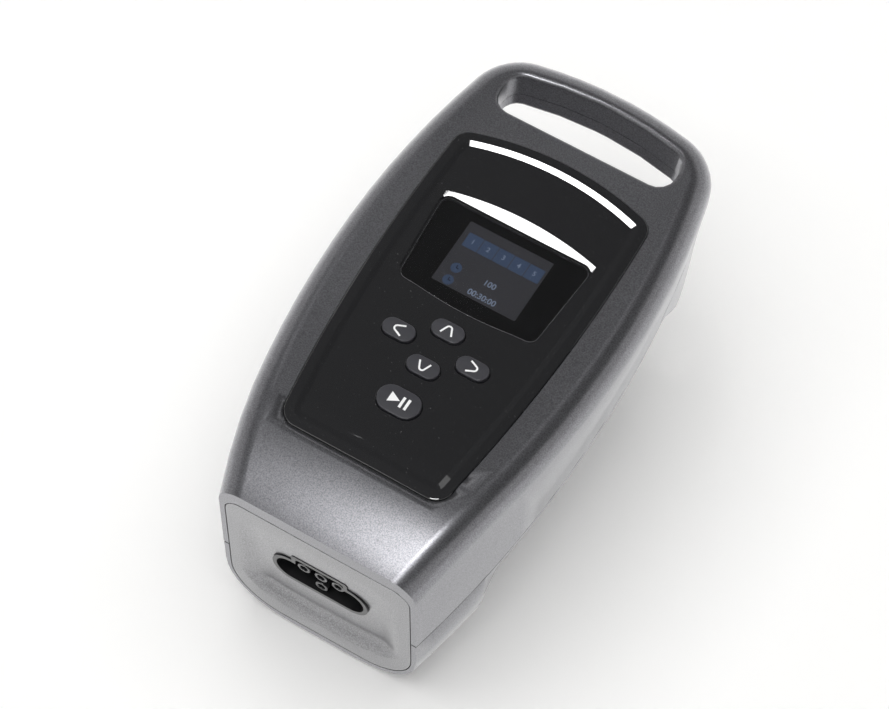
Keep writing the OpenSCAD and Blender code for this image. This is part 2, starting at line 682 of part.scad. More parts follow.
head_h = 42;
head_shaft_rise = 22;  // height of the shaft in the pump head
head_past_rise = 8;    // the pump head reaches this far past the start of the rear wall
head_z = main_board_z - board_t - pump_clearance - head_h;
motor_z = head_z + head_shaft_rise;
head_y = rise_start_y + head_past_rise - head_length;
motor_front_y = head_y - motor_length;
cushion_t = 4.8;
cushion_z = head_z - seat - cushion_t;
valve_r = 6.8;
valve_pitch = 15.4;
valve_y = manifold_y + manifold_depth;
valve_length = 26;
valve_x = [for (i = [0:3]) (i - 1.5) * valve_pitch];
plunger_r = 3;
plunger_length = 14;
plunger_y = valve_y + 7;
hose_bend_r = 8;
hose_run_x = half_width - 21;   // the hose runs along the hull's wall
hose_port_r = 2;
outlet_y = head_y + 12;

inlet_body_r = 5.5;
inlet_collar_r = 8.5;
inlet_back_y = rear_wall_y(inlet_z + inlet_collar_r) + 0.8;   // the collar ends just behind the sloping wall
inlet_collar_l = 11.5;
inlet_front_y = inlet_back_y - inlet_collar_l;
inlet_flange_t = 2;
inlet_tail = 1;        // the inlet's body ends this far inside its flange
inlet_mouth_y = inlet_back_y - 1.5;
inlet_socket_l = 10;
inlet_pin_r = 1;
vent_slots = 5;
vent_pitch = 3.8;
vent_w = 26;
vent_slot_w = 2;
rib_t = 3;
post_w = 8;            // posts under the manifold
cross_wall_t = 4;      // walls under the pump's cushion

// ================================================================== nodes

module upper_housing() {
    color("dimgray") from_front() difference() {
        union() {
            difference() {
                upper_form();
                upper_hollow();
            }
            for (p = board_posts) translate([p.x, p.y, board_top_z])
                cylinder(h = deck_under_z - board_top_z + 0.6, r = post_r);
            for (p = main_posts) translate([p.x, p.y, main_board_z])
                cylinder(h = deck_under_z - main_board_z + 0.6, r = post_r);
            for (p = front_screws) let(foot = seam_at(p.y + boss_r) + seam_gap) translate([p.x, p.y, foot])
                cylinder(h = top_at(p.x, p.y - boss_r) - fascia_t - foot - 1, r = boss_r);
        }
        intersection() {
            fascia_column(-fascia_gap);
            fascia_layer(over_top);
        }
        translate([0, display_y, deck_under_z - 3]) rounded_box([display_w + 6, display_h + 6, 10], 1.5);
        key_holes(key_flange - key_gap + key_well, deck_under_z - 0.6, fascia_floor_z + 1);
        slot_cut();
        from_face(-1, plate_t + fit) plate_outline(plate_gap);
        from_face(-1, front_wall + 1) plate_outline(-3);
        for (p = board_posts) translate([p.x, p.y, board_top_z - 1]) cylinder(h = 6, r = pilot_r);
        for (p = main_posts) translate([p.x, p.y, main_board_z - 1]) cylinder(h = 7, r = pilot_r);
        for (p = front_screws) translate([p.x, p.y, seam_front_z - 5])
            cylinder(h = screw_reach + 12, r = screw_shank_r + 0.05);
        for (p = handle_screws) translate([p.x, p.y, seam_back_z - 5])
            cylinder(h = screw_reach, r = screw_shank_r + 0.05);
    }
}

module lower_housing() {
    color("dimgray") from_front() difference() {
        union() {
            difference() {
                lower_form();
                lower_hollow();
            }
            for (p = feet) translate([p.x, p.y, foot_boss_z]) cylinder(h = foot_h - foot_boss_z + 3, r = foot_r + 2);
            for (p = front_screws) translate([p.x, p.y, boss_foot_z])
                cylinder(h = seam_at(p.y - boss_r) - seam_gap - boss_foot_z, r = boss_r);
            // ribs under the battery
            for (y = [battery_front_y + 10, battery_front_y + battery_length - 12])
                translate([1 - keel_half, y, rib_foot_z]) cube([2 * keel_half - 2, rib_t, battery_z - rib_foot_z]);
            // pads for the battery strap
            for (s = [-1, 1]) translate([s * strap_pad_x, strap_y, strap_pad_z])
                rounded_box([strap_foot, strap_w, strap_foot_z - strap_pad_z], 1);
            // posts under the manifold
            for (x = [post_w - keel_half, keel_half - post_w]) translate([x - post_w / 2, manifold_y + 2, rib_foot_z])
                cube([post_w, manifold_depth - 4, port_z - manifold_h / 2 - rib_foot_z]);
            // cross walls under the pump's cushion
            for (y = [head_y + 9, head_y + head_length - 7])
                let(foot = max(rib_foot_z, floor_at(0, y + cross_wall_t) - 1))
                translate([2 - head_w / 2, y, foot]) cube([head_w - 4, cross_wall_t, cushion_z - foot]);
            // collar of the power inlet
            bar_y(0, inlet_z, inlet_collar_r, inlet_front_y, inlet_back_y);
        }
        slot_cut();
        from_face(-1, plate_t + fit) plate_outline(plate_gap);
        from_face(-1, front_wall + 1) plate_outline(-3);
        for (p = feet) translate([p.x, p.y, foot_boss_z - 1]) cylinder(h = foot_h - foot_boss_z + 1, r = foot_r + fit);
        for (p = front_screws) {
            translate([p.x, p.y, 0]) cylinder(h = front_screw_seat_z, r = screw_head_r + 0.3);
            translate([p.x, p.y, 0]) cylinder(h = top_z, r = screw_shank_r + 0.2);
        }
        for (p = handle_screws) {
            translate([p.x, p.y, handle_under_z - 5]) cylinder(h = handle_screw_seat_z - handle_under_z + 5,
                r = screw_head_r + 0.3);
            translate([p.x, p.y, handle_under_z]) cylinder(h = handle_h, r = screw_shank_r + 0.2);
        }
        for (i = [0:vent_slots - 1]) translate([0, block_length + 4 + i * vent_pitch, -1]) linear_extrude(8)
            stadium(vent_w, vent_slot_w);
        bar_y(0, inlet_z, inlet_body_r + fit, inlet_front_y - 10, inlet_back_y + 10);
    }
}

module front_plate() {
    color("gray") from_front() difference() {
        union() {
            from_face(0, plate_t) plate_outline();
            dish_solid(plate_t / 2, plate_t);
        }
        dish_solid(-1, 0);
        from_face(-2, 20) port_outline(port_wall + fit);
    }
}

module port_socket() {
    color("black") from_front() difference() {
        union() {
            from_face(port_rim_y, port_back_y) port_outline(port_wall);
            from_face(dish_depth + plate_t + seat, dish_depth + plate_t + 2.2) port_outline(port_wall + 2.4);
        }
        from_face(port_rim_y - 1, port_floor_y) port_outline();
        for (p = nozzle_places) bar_y(p.x, port_z + p.y, tail_r + 0.05, port_floor_y - 1, port_back_y + 1);
    }
}

module nozzle_left() { color("darkslategray") from_front() nozzle(0); }
module nozzle_middle() { color("darkslategray") from_front() nozzle(1); }
module nozzle_right() { color("darkslategray") from_front() nozzle(2); }
module nozzle_lower() { color("darkslategray") from_front() nozzle(3); }

module control_fascia() {
    color([0.06, 0.06, 0.07]) from_front() difference() {
        intersection() {
            fascia_column();
            fascia_layer(fascia_proud);
        }
        difference() {
            tray_room();
            fascia_layer(fascia_proud - fascia_tray);
        }
        crescent_cut();
        translate([0, 0, fascia_floor_z - 5]) linear_extrude(5 + over_top) window_outline(fit);
        translate([0, 0, lens_top_z]) linear_extrude(over_top) window_outline(lip_w);
        key_holes(0, fascia_floor_z - 5, top_z + over_top);
    }
}

module screen_window() {
    color([0.1, 0.1, 0.11]) from_front() translate([0, 0, fascia_floor_z])
        linear_extrude(lens_top_z - fascia_floor_z) window_outline();
}

display_frame_h = 3.4;
module display_panel() {
    color([0.2, 0.22, 0.28]) from_front()
        translate([0, display_y, board_top_z + display_frame_h])
            rounded_box([display_w + 5, display_h + 5, fascia_floor_z - seat - board_top_z - display_frame_h], 1);
}

module display_frame() {
    color("whitesmoke") from_front() translate([0, display_y, board_top_z]) difference() {
        rounded_box([display_w + 9, display_h + 9, display_frame_h], 2);
        translate([0, 0, -1]) rounded_box([display_w - 4, display_h - 4, display_frame_h + 2], 2);
    }
}

module key_left() { color([0.27, 0.27, 0.3]) from_front() key(keys[0]); }
module key_right() { color([0.27, 0.27, 0.3]) from_front() key(keys[1]); }
module key_up() { color([0.27, 0.27, 0.3]) from_front() key(keys[2]); }
module key_down() { color([0.27, 0.27, 0.3]) from_front() key(keys[3]); }
module key_start() { color([0.27, 0.27, 0.3]) from_front() key(keys[4]); }

module control_board() {
    front_y = start_y - 9.9;
    back_y = display_y + 30.6;
    color("darkgreen") from_front() difference() {
        translate([0, (front_y + back_y) / 2, board_top_z - board_t])
            rounded_box([2 * post_dx + 8, back_y - front_y, board_t], 2);
        for (p = board_posts) translate([p.x, p.y, board_top_z - 5]) cylinder(h = 10, r = pilot_r + 0.2);
    }
}

module key_switches() {
    color("silver") from_front() for (k = keys) translate([k[1], k[2], board_top_z]) {
        rounded_box([switch_size, switch_size, switch_h], 0.6);
        cylinder(h = switch_h + switch_button_h, r = 1.75);
    }
}

module board_screw(p, z, reach) {
    translate([p.x, p.y, z - 1.8]) cylinder(h = 1.8, r = 2.4);
    translate([p.x, p.y, z - 1]) cylinder(h = reach, r = pilot_r - 0.05);
}
module board_screws() {
    color("silver") from_front() {
        for (p = board_posts) board_screw(p, board_top_z - board_t, 6);
        for (p = main_posts) board_screw(p, main_board_z - board_t, 7);
    }
}

module main_board() {
    color("darkgreen") from_front() difference() {
        translate([0, main_board_y, main_board_z - board_t]) rounded_box([main_board_w, main_board_l, board_t], 2);
        for (p = main_posts) translate([p.x, p.y, main_board_z - 5]) cylinder(h = 10, r = pilot_r + 0.2);
    }
}

part_pitch = 12;       // between the capacitors on the main board
capacitor_r = 4;
capacitor_h = 8;
chip_size = 16;
chip_h = 1.6;
terminal = [9, 6, 6];
terminal_pitch = 16;
module main_board_parts() {
    color("black") from_front() translate([0, main_board_y, main_board_z]) {
        for (i = [0:2]) translate([(i - 2) * part_pitch, 10 - main_board_l / 2, 0])
            cylinder(h = capacitor_h, r = capacitor_r);
        translate([chip_size - 2, -chip_size, 0]) rounded_box([chip_size, chip_size, chip_h], 0.5);
        for (i = [0:3]) translate([(i - 1.5) * terminal_pitch - 2, main_board_l / 2 - 12, 0])
            rounded_box(terminal, 0.4);
    }
}

module pump_motor() {
    color("silver") from_front() difference() {
        union() {
            bar_y(0, motor_z, motor_r, motor_front_y, head_y);
            bar_y(0, motor_z, 5, motor_front_y - 3, head_y - 1);
        }
        bar_y(0, motor_z, shaft_r + 0.08, motor_front_y - 9, head_y + 9);
    }
}

eccentric_r = 6;
eccentric_throw = 1.5;
crank_length = 12;
crank_room = 9;
module motor_shaft() {
    color("lightgray") from_front() {
        bar_y(0, motor_z, shaft_r, motor_front_y - 5, head_y + crank_length - 1.5);
        bar_y(0, motor_z + eccentric_throw, eccentric_r, head_y + 3, head_y + crank_length - 3);
    }
}

module pump_head() {
    color("dimgray") from_front() difference() {
        union() {
            translate([0, head_y + head_length / 2, head_z]) rounded_box([head_w, head_length, head_h - 4], 3);
            translate([0, head_y + head_length / 2, head_z]) rounded_box([head_w - 8, head_length - 6, head_h], 3);
            translate([head_w / 2 - 1, outlet_y, port_z]) rotate([0, 90, 0]) cylinder(h = 9, r = hose_port_r);
        }
        bar_y(0, motor_z, crank_room, head_y - 1, head_y + crank_length);
    }
}

module pump_cushion() {
    color([0.15, 0.15, 0.15]) from_front() translate([0, head_y + head_length / 2, cushion_z])
        rounded_box([head_w - 4, head_length - 2, cushion_t], 2);
}

module hose_bend(turn) {
    rotate([0, 0, turn]) rotate_extrude(angle = 90) translate([hose_bend_r, 0]) difference() {
        circle(hose_r, $fn = 32);
        circle(hose_port_r + 0.05, $fn = 32);
    }
}
module hose_run(from, axis, length) {
    translate(from) rotate(axis) difference() {
        cylinder(h = length, r = hose_r, $fn = 32);
        translate([0, 0, -1]) cylinder(h = length + 2, r = hose_port_r + 0.05, $fn = 32);
    }
}
hose_bend_x = hose_run_x - hose_bend_r;
manifold_port_y = manifold_y + manifold_depth / 2;
module supply_hose() {
    color([0.75, 0.75, 0.72]) from_front() translate([0, 0, port_z]) {
        hose_run([head_w / 2 + fit, outlet_y, 0], [0, 90, 0], hose_bend_x - head_w / 2 - fit);
        translate([hose_bend_x, outlet_y - hose_bend_r, 0]) hose_bend(0);
        hose_run([hose_run_x, manifold_port_y + hose_bend_r, 0], [-90, 0, 0],
            outlet_y - manifold_port_y - 2 * hose_bend_r);
        translate([hose_bend_x, manifold_port_y + hose_bend_r, 0]) hose_bend(-90);
        hose_run([manifold_half + fit, manifold_port_y, 0], [0, 90, 0], hose_bend_x - manifold_half - fit);
    }
}

module air_manifold() {
    color("lightgray") from_front() {
        translate([0, manifold_y + manifold_depth / 2, port_z - manifold_h / 2])
            rounded_box([2 * manifold_half, manifold_depth, manifold_h], 2);
        for (p = nozzle_places) bar_y(p.x, port_z + p.y, tail_r, manifold_y - nipple_l, manifold_y + 1);
        translate([manifold_half - 1, manifold_port_y, port_z]) rotate([0, 90, 0]) cylinder(h = 6, r = hose_port_r);
    }
}

module air_tubes() {
    color([0.8, 0.8, 0.78]) from_front() for (p = nozzle_places) difference() {
        bar_y(p.x, port_z + p.y, tail_r + 1.1, port_back_y + fit, manifold_y - fit);
        bar_y(p.x, port_z + p.y, tail_r + 0.05, port_back_y - 1, manifold_y + 1);
    }
}

module valve_bodies() {
    color("silver") from_front() for (x = valve_x) difference() {
        union() {
            bar_y(x, port_z, valve_r, valve_y, valve_y + valve_length);
            translate([x, valve_y + valve_length / 2, port_z - valve_r - 0.6])
                rounded_box([9, valve_length - 6, 2 * valve_r + 1.2], 1);
        }
        bar_y(x, port_z, plunger_r + 0.08, plunger_y - valve_stroke - 0.4, plunger_y + plunger_length + 0.4);
    }
}
module valve_plunger(i) {
    color("lightgray") from_front() bar_y(valve_x[i], port_z, plunger_r, plunger_y, plunger_y + plunger_length);
}
module valve_plunger_1() { valve_plunger(0); }
module valve_plunger_2() { valve_plunger(1); }
module valve_plunger_3() { valve_plunger(2); }
module valve_plunger_4() { valve_plunger(3); }

module battery_pack() {
    color("steelblue") from_front() translate([0, battery_front_y + battery_length / 2, battery_z])
        rounded_box([battery_w, battery_length, battery_h], 4);
}

module battery_strap() {
    top = battery_z + battery_h + fit;
    inner = battery_w / 2 + strap_play;
    foot_end = inner + strap_t + strap_foot;
    color("silver") from_front() from_face(strap_y - strap_w / 2, strap_y + strap_w / 2) difference() {
        polygon(with_mirror([[foot_end, strap_foot_z], [foot_end, strap_foot_z + strap_t],
            [inner + strap_t, strap_foot_z + strap_t], [inner + strap_t, top + strap_t]]));
        translate([-inner, strap_foot_z - 1]) square([2 * inner, top - strap_foot_z + 1]);
    }
}

module power_inlet() {
    color("black") from_front() difference() {
        union() {
            bar_y(0, inlet_z, inlet_body_r, inlet_front_y - inlet_flange_t - inlet_tail, inlet_mouth_y);
            bar_y(0, inlet_z, inlet_body_r + 1.8, inlet_front_y - inlet_flange_t - fit, inlet_front_y - fit);
        }
        difference() {
            bar_y(0, inlet_z, inlet_r, inlet_mouth_y - inlet_socket_l, inlet_mouth_y + 1);
            bar_y(0, inlet_z, inlet_pin_r, inlet_mouth_y - inlet_socket_l - 1, inlet_mouth_y - 1.5);
        }
    }
}

module rubber_feet() {
    color([0.08, 0.08, 0.08]) from_front() for (p = feet) translate([p.x, p.y, 0]) {
        cylinder(h = 1, r1 = foot_r - 0.8, r2 = foot_r);
        translate([0, 0, 1 - eps]) cylinder(h = foot_h - 1 + eps, r = foot_r);
    }
}

module case_screw(p, seat_z, top) {
    translate([p.x, p.y, seat_z - 2.6]) difference() {
        cylinder(h = 2.6, r = screw_head_r);
        for (a = [0, 90]) rotate(a) translate([-1.8, -0.4, -1]) cube([3.6, 0.8, 2.2]);
    }
    translate([p.x, p.y, seat_z - 1]) cylinder(h = top - seat_z + 1, r = screw_shank_r);
}
module case_screws() {
    color("silver") from_front() {
        for (p = front_screws) case_screw(p, front_screw_seat_z, seam_front_z + 15);
        for (p = handle_screws) case_screw(p, handle_screw_seat_z, seam_back_z + 6);
    }
}

upper_housing();
lower_housing();
front_plate();
port_socket();
nozzle_left();
nozzle_middle();
nozzle_right();
nozzle_lower();
control_fascia();
screen_window();
display_panel();
display_frame();
key_left();
key_right();
key_up();
key_down();
key_start();
control_board();
key_switches();
board_screws();
main_board();
main_board_parts();
pump_motor();
motor_shaft();
pump_head();
pump_cushion();
supply_hose();
air_manifold();
air_tubes();
valve_bodies();
valve_plunger_1();
valve_plunger_2();
valve_plunger_3();
valve_plunger_4();
battery_pack();
battery_strap();
power_inlet();
rubber_feet();
case_screws();
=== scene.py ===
import json
import math

import bpy
from mathutils import Matrix, Vector


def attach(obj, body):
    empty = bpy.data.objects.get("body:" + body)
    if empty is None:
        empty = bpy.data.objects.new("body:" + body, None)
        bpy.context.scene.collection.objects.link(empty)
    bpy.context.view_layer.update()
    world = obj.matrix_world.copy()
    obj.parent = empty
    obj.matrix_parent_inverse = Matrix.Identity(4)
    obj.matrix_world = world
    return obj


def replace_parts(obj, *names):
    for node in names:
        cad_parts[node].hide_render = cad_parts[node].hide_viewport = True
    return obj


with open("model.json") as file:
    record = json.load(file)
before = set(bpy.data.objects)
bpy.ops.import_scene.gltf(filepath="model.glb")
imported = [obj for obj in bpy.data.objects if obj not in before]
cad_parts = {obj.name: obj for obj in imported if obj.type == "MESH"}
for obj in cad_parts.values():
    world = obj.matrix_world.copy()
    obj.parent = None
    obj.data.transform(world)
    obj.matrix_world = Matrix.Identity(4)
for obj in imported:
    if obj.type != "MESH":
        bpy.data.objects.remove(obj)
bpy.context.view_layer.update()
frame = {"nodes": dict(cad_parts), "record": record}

# Sizes are in millimetres and x is from the middle plane. In outlines and places y counts
# backwards from the front face, and z upwards from the table.
MM = 0.001
HALF_LENGTH = 121.0                     # from the front face to the origin
LEVEL = 0.9                             # a face whose normal rises more than this counts as level
scene = bpy.context.scene


# ------------------------------------------------------------------ plan curves

def mix(a, b, t):
    return a + (b - a) * t


def clamp(t):
    return min(1.0, max(0.0, t))


def arc(centre, radius, start, end, steps):
    """Points on an arc, angles in degrees, both ends included."""
    turns = [math.radians(mix(start, end, i / steps)) for i in range(steps + 1)]
    return [(centre[0] + radius * math.cos(a), centre[1] + radius * math.sin(a)) for a in turns]


def heading(start, end):
    return math.degrees(math.atan2(end[1] - start[1], end[0] - start[0]))


def circles_meet(c0, r0, c1, r1):
    """The meeting point of two circles that lies clockwise of the line from c0 to c1."""
    dx, dy = c1[0] - c0[0], c1[1] - c0[1]
    d = math.hypot(dx, dy)
    along = (d * d + r0 * r0 - r1 * r1) / (2 * d)
    across = math.sqrt(r0 * r0 - along * along)
    return (c0[0] + (along * dx + across * dy) / d, c0[1] + (along * dy - across * dx) / d)


def mirrored(half):
    """A right half outline, front to back, made whole and counter-clockwise."""
    return half + [(-x, y) for x, y in reversed(half) if abs(x) > 1e-6]


def moved(outline, x, y):
    return [(x + u, y + v) for u, v in outline]


def stadium(width, height, steps=12):
    """An oblong with round ends, about the origin."""
    r = height / 2
    dx = width / 2 - r
    return arc((dx, 0), r, -90, 90, steps) + arc((-dx, 0), r, 90, 270, steps)


# ------------------------------------------------------------------ the housing's surfaces

TOP_Z = 111.6
FRONT_DROP, FRONT_DROP_LENGTH = 14.0, 48.0
CROWN, HALF_WIDTH = 1.2, 67.2


def top_at(x, y):
    return TOP_Z - FRONT_DROP * clamp(1 - y / FRONT_DROP_LENGTH) ** 2 - CROWN * (x / HALF_WIDTH) ** 2


def top_normal(x, y):
    fall = 2 * FRONT_DROP / FRONT_DROP_LENGTH * clamp(1 - y / FRONT_DROP_LENGTH)
    return Vector((2 * CROWN * x / HALF_WIDTH ** 2, -fall, 1)).normalized()


# ------------------------------------------------------------------ modelling

def in_mm(point):
    """A point in millimetres, with y from the front face."""
    return point.x / MM, point.y / MM + HALF_LENGTH, point.z / MM


def deselect():
    if bpy.context.object and bpy.context.object.mode != "OBJECT":
        bpy.ops.object.mode_set(mode="OBJECT")
    bpy.ops.object.select_all(action="DESELECT")


def only(piece):
    """Makes a piece the one that is selected and active."""
    deselect()
    piece.select_set(True)
    bpy.context.view_layer.objects.active = piece


def in_edit(piece, action):
    """Runs an action on all of a piece in edit mode."""
    only(piece)
    bpy.ops.object.mode_set(mode="EDIT")
    bpy.ops.mesh.select_all(action="SELECT")
    action()
    bpy.ops.object.mode_set(mode="OBJECT")


def on_faces(piece, wanted, action):
    """Runs an action in edit mode on the faces that a test picks."""
    only(piece)
    bpy.ops.object.mode_set(mode="EDIT")
    bpy.ops.mesh.select_mode(type="FACE")
    bpy.ops.mesh.select_all(action="DESELECT")
    bpy.ops.object.mode_set(mode="OBJECT")
    for face in piece.data.polygons:
        face.select = wanted(face)
    bpy.ops.object.mode_set(mode="EDIT")
    action()
    bpy.ops.object.mode_set(mode="OBJECT")


def modify(piece, kind, **settings):
    """Adds a modifier and applies it."""
    only(piece)
    modifier = piece.modifiers.new(kind.lower(), kind)
    for key, value in settings.items():
        setattr(modifier, key, value)
    bpy.ops.object.modifier_apply(modifier=modifier.name)


def soften(piece, angle, flat_faces=True):
    """Smooth shading up to an angle; the larger faces may stay flat."""
    only(piece)
    bpy.ops.object.shade_smooth_by_angle(angle=math.radians(angle))
    if flat_faces:
        modify(piece, "WEIGHTED_NORMAL", keep_sharp=True)


def round_edges(piece, width, segments=2, angle=30):
    modify(piece, "BEVEL", width=width * MM, segments=segments, limit_method="ANGLE",
           angle_limit=math.radians(angle), harden_normals=False, miter_outer="MITER_ARC")


def dress(piece, finish, body="housing"):
    piece.data.materials.clear()
    piece.data.materials.append(finish.material)
    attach(piece, body)
    return piece


def copied(node, name):
    """A node's mesh as a new piece, its loose triangles joined."""
    piece = bpy.data.objects.new(name, frame["nodes"][node].data.copy())
    scene.collection.objects.link(piece)
    in_edit(piece, lambda: bpy.ops.mesh.remove_doubles(threshold=0.01 * MM))
    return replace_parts(piece, node)


def sheet_of(outline, name, z):
    """A flat face with a given outline in plan, from a circle whose points are moved."""
    deselect()
    bpy.ops.mesh.primitive_circle_add(vertices=len(outline), radius=1, fill_type="NGON", location=(0, 0, 0))
    piece = bpy.context.object
    piece.name = name
    for vertex, (x, y) in zip(piece.data.vertices, outline):
        vertex.co = (x * MM, (y - HALF_LENGTH) * MM, z * MM)
    return piece


def prism(outline, name, low, high):
    """An upright solid with a given outline in plan."""
    piece = sheet_of(outline, name, low)

    def pull_up():
        bpy.ops.mesh.extrude_region_move(TRANSFORM_OT_translate={"value": (0, 0, (high - low) * MM)})
        bpy.ops.mesh.select_all(action="SELECT")
        bpy.ops.mesh.normals_make_consistent(inside=False)

    in_edit(piece, pull_up)
    return piece


def cut(piece, tool):
    modify(piece, "BOOLEAN", operation="DIFFERENCE", object=tool, solver="EXACT")
    bpy.data.objects.remove(tool)


# ------------------------------------------------------------------ finishes

class Signal:
    """A socket in a finish. Adding and multiplying it adds Math nodes."""

    def __init__(self, finish, socket):
        self.finish, self.socket = finish, socket

    def math(self, operation, other):
        return self.finish.node("ShaderNodeMath", {"operation": operation}, {0: self, 1: other})

    def __add__(self, other):
        return self.math("ADD", other)

    def __mul__(self, other):
        return self.math("MULTIPLY", other)

    __radd__ = __add__
    __rmul__ = __mul__


MIX_SHARE, MIX_FIRST, MIX_SECOND, MIX_RESULT = 0, 6, 7, 2   # the colour sockets of a Mix node


class Finish:
    """A material on one Principled shader, with its constants set on the shader."""

    def __init__(self, name, color, **constants):
        self.material = bpy.data.materials.new(name)
        self.material.use_nodes = True
        self.tree = self.material.node_tree
        self.shader = self.tree.nodes["Principled BSDF"]
        self.feed("Base Color", (*color, 1))
        for key, value in constants.items():
            self.feed(key.replace("_", " ").title().replace("Ior", "IOR"), value)

    def feed(self, name, value, node=None):
        """Sets a socket, given by name or number, to a value or links a signal to it."""
        socket = (node or self.shader).inputs[name]
        if isinstance(value, Signal):
            self.tree.links.new(value.socket, socket)
        else:
            socket.default_value = value

    def node(self, kind, settings=None, values=None, output=0):
        """Adds a node. Its settings come first, then what its sockets hold."""
        made = self.tree.nodes.new(kind)
        for key, value in (settings or {}).items():
            if key == "stops":
                for stop, (place, level) in zip(made.color_ramp.elements, value):
                    stop.position, stop.color = place, (level, level, level, 1)
            else:
                setattr(made, key, value)
        for key, value in (values or {}).items():
            self.feed(key, value, made)
        return Signal(self, made.outputs[output])

    def place(self):
        return self.node("ShaderNodeTexCoord", output="Object")

    def noise(self, size, detail=2.0, roughness=0.5):
        """Noise from 0 to 1 whose grains are about the given size in millimetres."""
        values = {"Vector": self.place(), "Scale": 1 / (size * MM), "Detail": detail,
                  "Roughness": roughness}
        return self.node("ShaderNodeTexNoise", {}, values)

    def ramp(self, signal, *stops):
        """A grey ramp whose stops are pairs of place and level."""
        return self.node("ShaderNodeValToRGB", {"stops": stops}, {"Fac": signal})

    def blend(self, share, first, second):
        """A mix of two colours by a signal from 0 to 1."""
        values = {MIX_SHARE: share, MIX_FIRST: (*first, 1), MIX_SECOND: (*second, 1)}
        return self.node("ShaderNodeMix", {"data_type": "RGBA"}, values, MIX_RESULT)

    def bump(self, height, strength, depth):
        values = {"Height": height, "Strength": strength, "Distance": depth * MM}
        self.feed("Normal", self.node("ShaderNodeBump", {}, values))


FLAKE_SIZE, CLOUD_SIZE = 0.55, 14.0
FLAKE_DARK, FLAKE_LIGHT = 0.70, 1.34    # the flakes' colours, as shares of the paint's
SMEAR_SIZE, DUST_SIZE = 18.0, 0.9


def flake_paint(name, color, metallic, roughness):
    """Satin metallic paint: fine flakes, a little cloudiness and orange peel."""
    made = Finish(name, color, specular_ior_level=0.5, metallic=metallic, coat_weight=0.0)
    flakes = made.noise(FLAKE_SIZE, 3.0, 0.7)
    clouds = made.noise(CLOUD_SIZE, 3.0)
    dark = tuple(FLAKE_DARK * c for c in color)
    light = tuple(FLAKE_LIGHT * c for c in color)
    made.feed("Base Color", made.blend(made.ramp(flakes, (0.35, 0.0), (0.65, 1.0)), dark, light))
    made.feed("Roughness", roughness - 0.03 + 0.06 * clouds)
    made.bump(flakes, 0.22, 0.05)
    return made


def moulded(name, color, roughness, grain=0.25, strength=0.1, **constants):
    """Moulded plastic or rubber with a fine grain."""
    made = Finish(name, color, **constants)
    texture = made.noise(grain, 2.0)
    made.feed("Roughness", roughness - 0.04 + 0.08 * made.noise(6.0, 3.0))
    made.bump(texture, strength, 0.04)
    return made


def polished(name, color, roughness, **constants):
    """Polished plastic with faint smears and sparse dust."""
    made = Finish(name, color, **constants)
    smears = made.noise(SMEAR_SIZE, 4.0, 0.6)
    dust = made.ramp(made.noise(DUST_SIZE, 1.0), (0.74, 0.0), (0.80, 1.0))
    pale = tuple(c + 0.05 for c in color)
    made.feed("Base Color", made.blend(dust, color, pale))
    made.feed("Roughness", roughness + 0.03 * smears + 0.2 * dust)
    return made


def metal(name, color, roughness):
    made = Finish(name, color, metallic=1.0)
    made.feed("Roughness", roughness - 0.08 + 0.16 * made.noise(1.5, 3.0))
    made.bump(made.noise(0.4, 2.0), 0.08, 0.03)
    return made


HOUSING_GREY = (0.172, 0.172, 0.183)
finishes = {
    "housing_paint": flake_paint("gunmetal paint", HOUSING_GREY, 0.85, 0.29),
    "plate_paint": flake_paint("front plate paint", (0.200, 0.200, 0.206), 0.85, 0.32),
    "fascia_gloss": polished("polished black fascia", (0.008, 0.008, 0.009), 0.03, coat_weight=1.0,
                             coat_roughness=0.02),
    "window_gloss": polished("smoked window", (0.50, 0.50, 0.52), 0.02, transmission_weight=1.0, ior=1.46),
    "key_satin": moulded("satin key", (0.036, 0.036, 0.043), 0.40),
    "display": moulded("display glass", (0.05, 0.05, 0.055), 0.3, emission_color=(0.30, 0.30, 0.33, 1),
                       emission_strength=0.16),
    "white_plastic": moulded("white plastic", (0.75, 0.75, 0.73), 0.4),
    "black_plastic": moulded("black plastic", (0.010, 0.010, 0.011), 0.35),
    "nozzle_plastic": moulded("nozzle plastic", (0.02, 0.02, 0.022), 0.3),
    "board_green": moulded("solder mask", (0.01, 0.10, 0.035), 0.35),
    "component_black": moulded("component black", (0.012, 0.012, 0.013), 0.45),
    "plain_steel": metal("plated steel", (0.60, 0.60, 0.61), 0.32),
    "pump_cast": metal("cast alloy", (0.42, 0.42, 0.43), 0.5),
    "soft_rubber": moulded("soft rubber", (0.016, 0.016, 0.017), 0.7, 0.4, 0.2),
    "hose_silicone": moulded("silicone hose", (0.62, 0.62, 0.58), 0.4, 0.8, 0.05),
    "battery_wrap": moulded("battery wrap", (0.02, 0.07, 0.22), 0.3, 1.5, 0.1),
}

for entry in frame["record"]["subparts"]:
    node = frame["nodes"][entry["node"]]
    node.data.materials.clear()
    node.data.materials.append(finishes[entry["material_slot"]].material)


# ------------------------------------------------------------------ housings, front plate and trim

SMOOTH_TURN = 22                        # neighbouring faces that turn less than this are one surface
PARTING_EDGE_R = 0.35
PARTING_LOW, PARTING_HIGH = 46.0, 101.5 # the parting line climbs from the front to the handle
UPRIGHT = 0.5                           # a face whose normal rises less than this belongs to a wall
TOP_FACE, TOP_MATCH = 0.8, 0.04         # how a face on the crowned top rises, and how near it lies


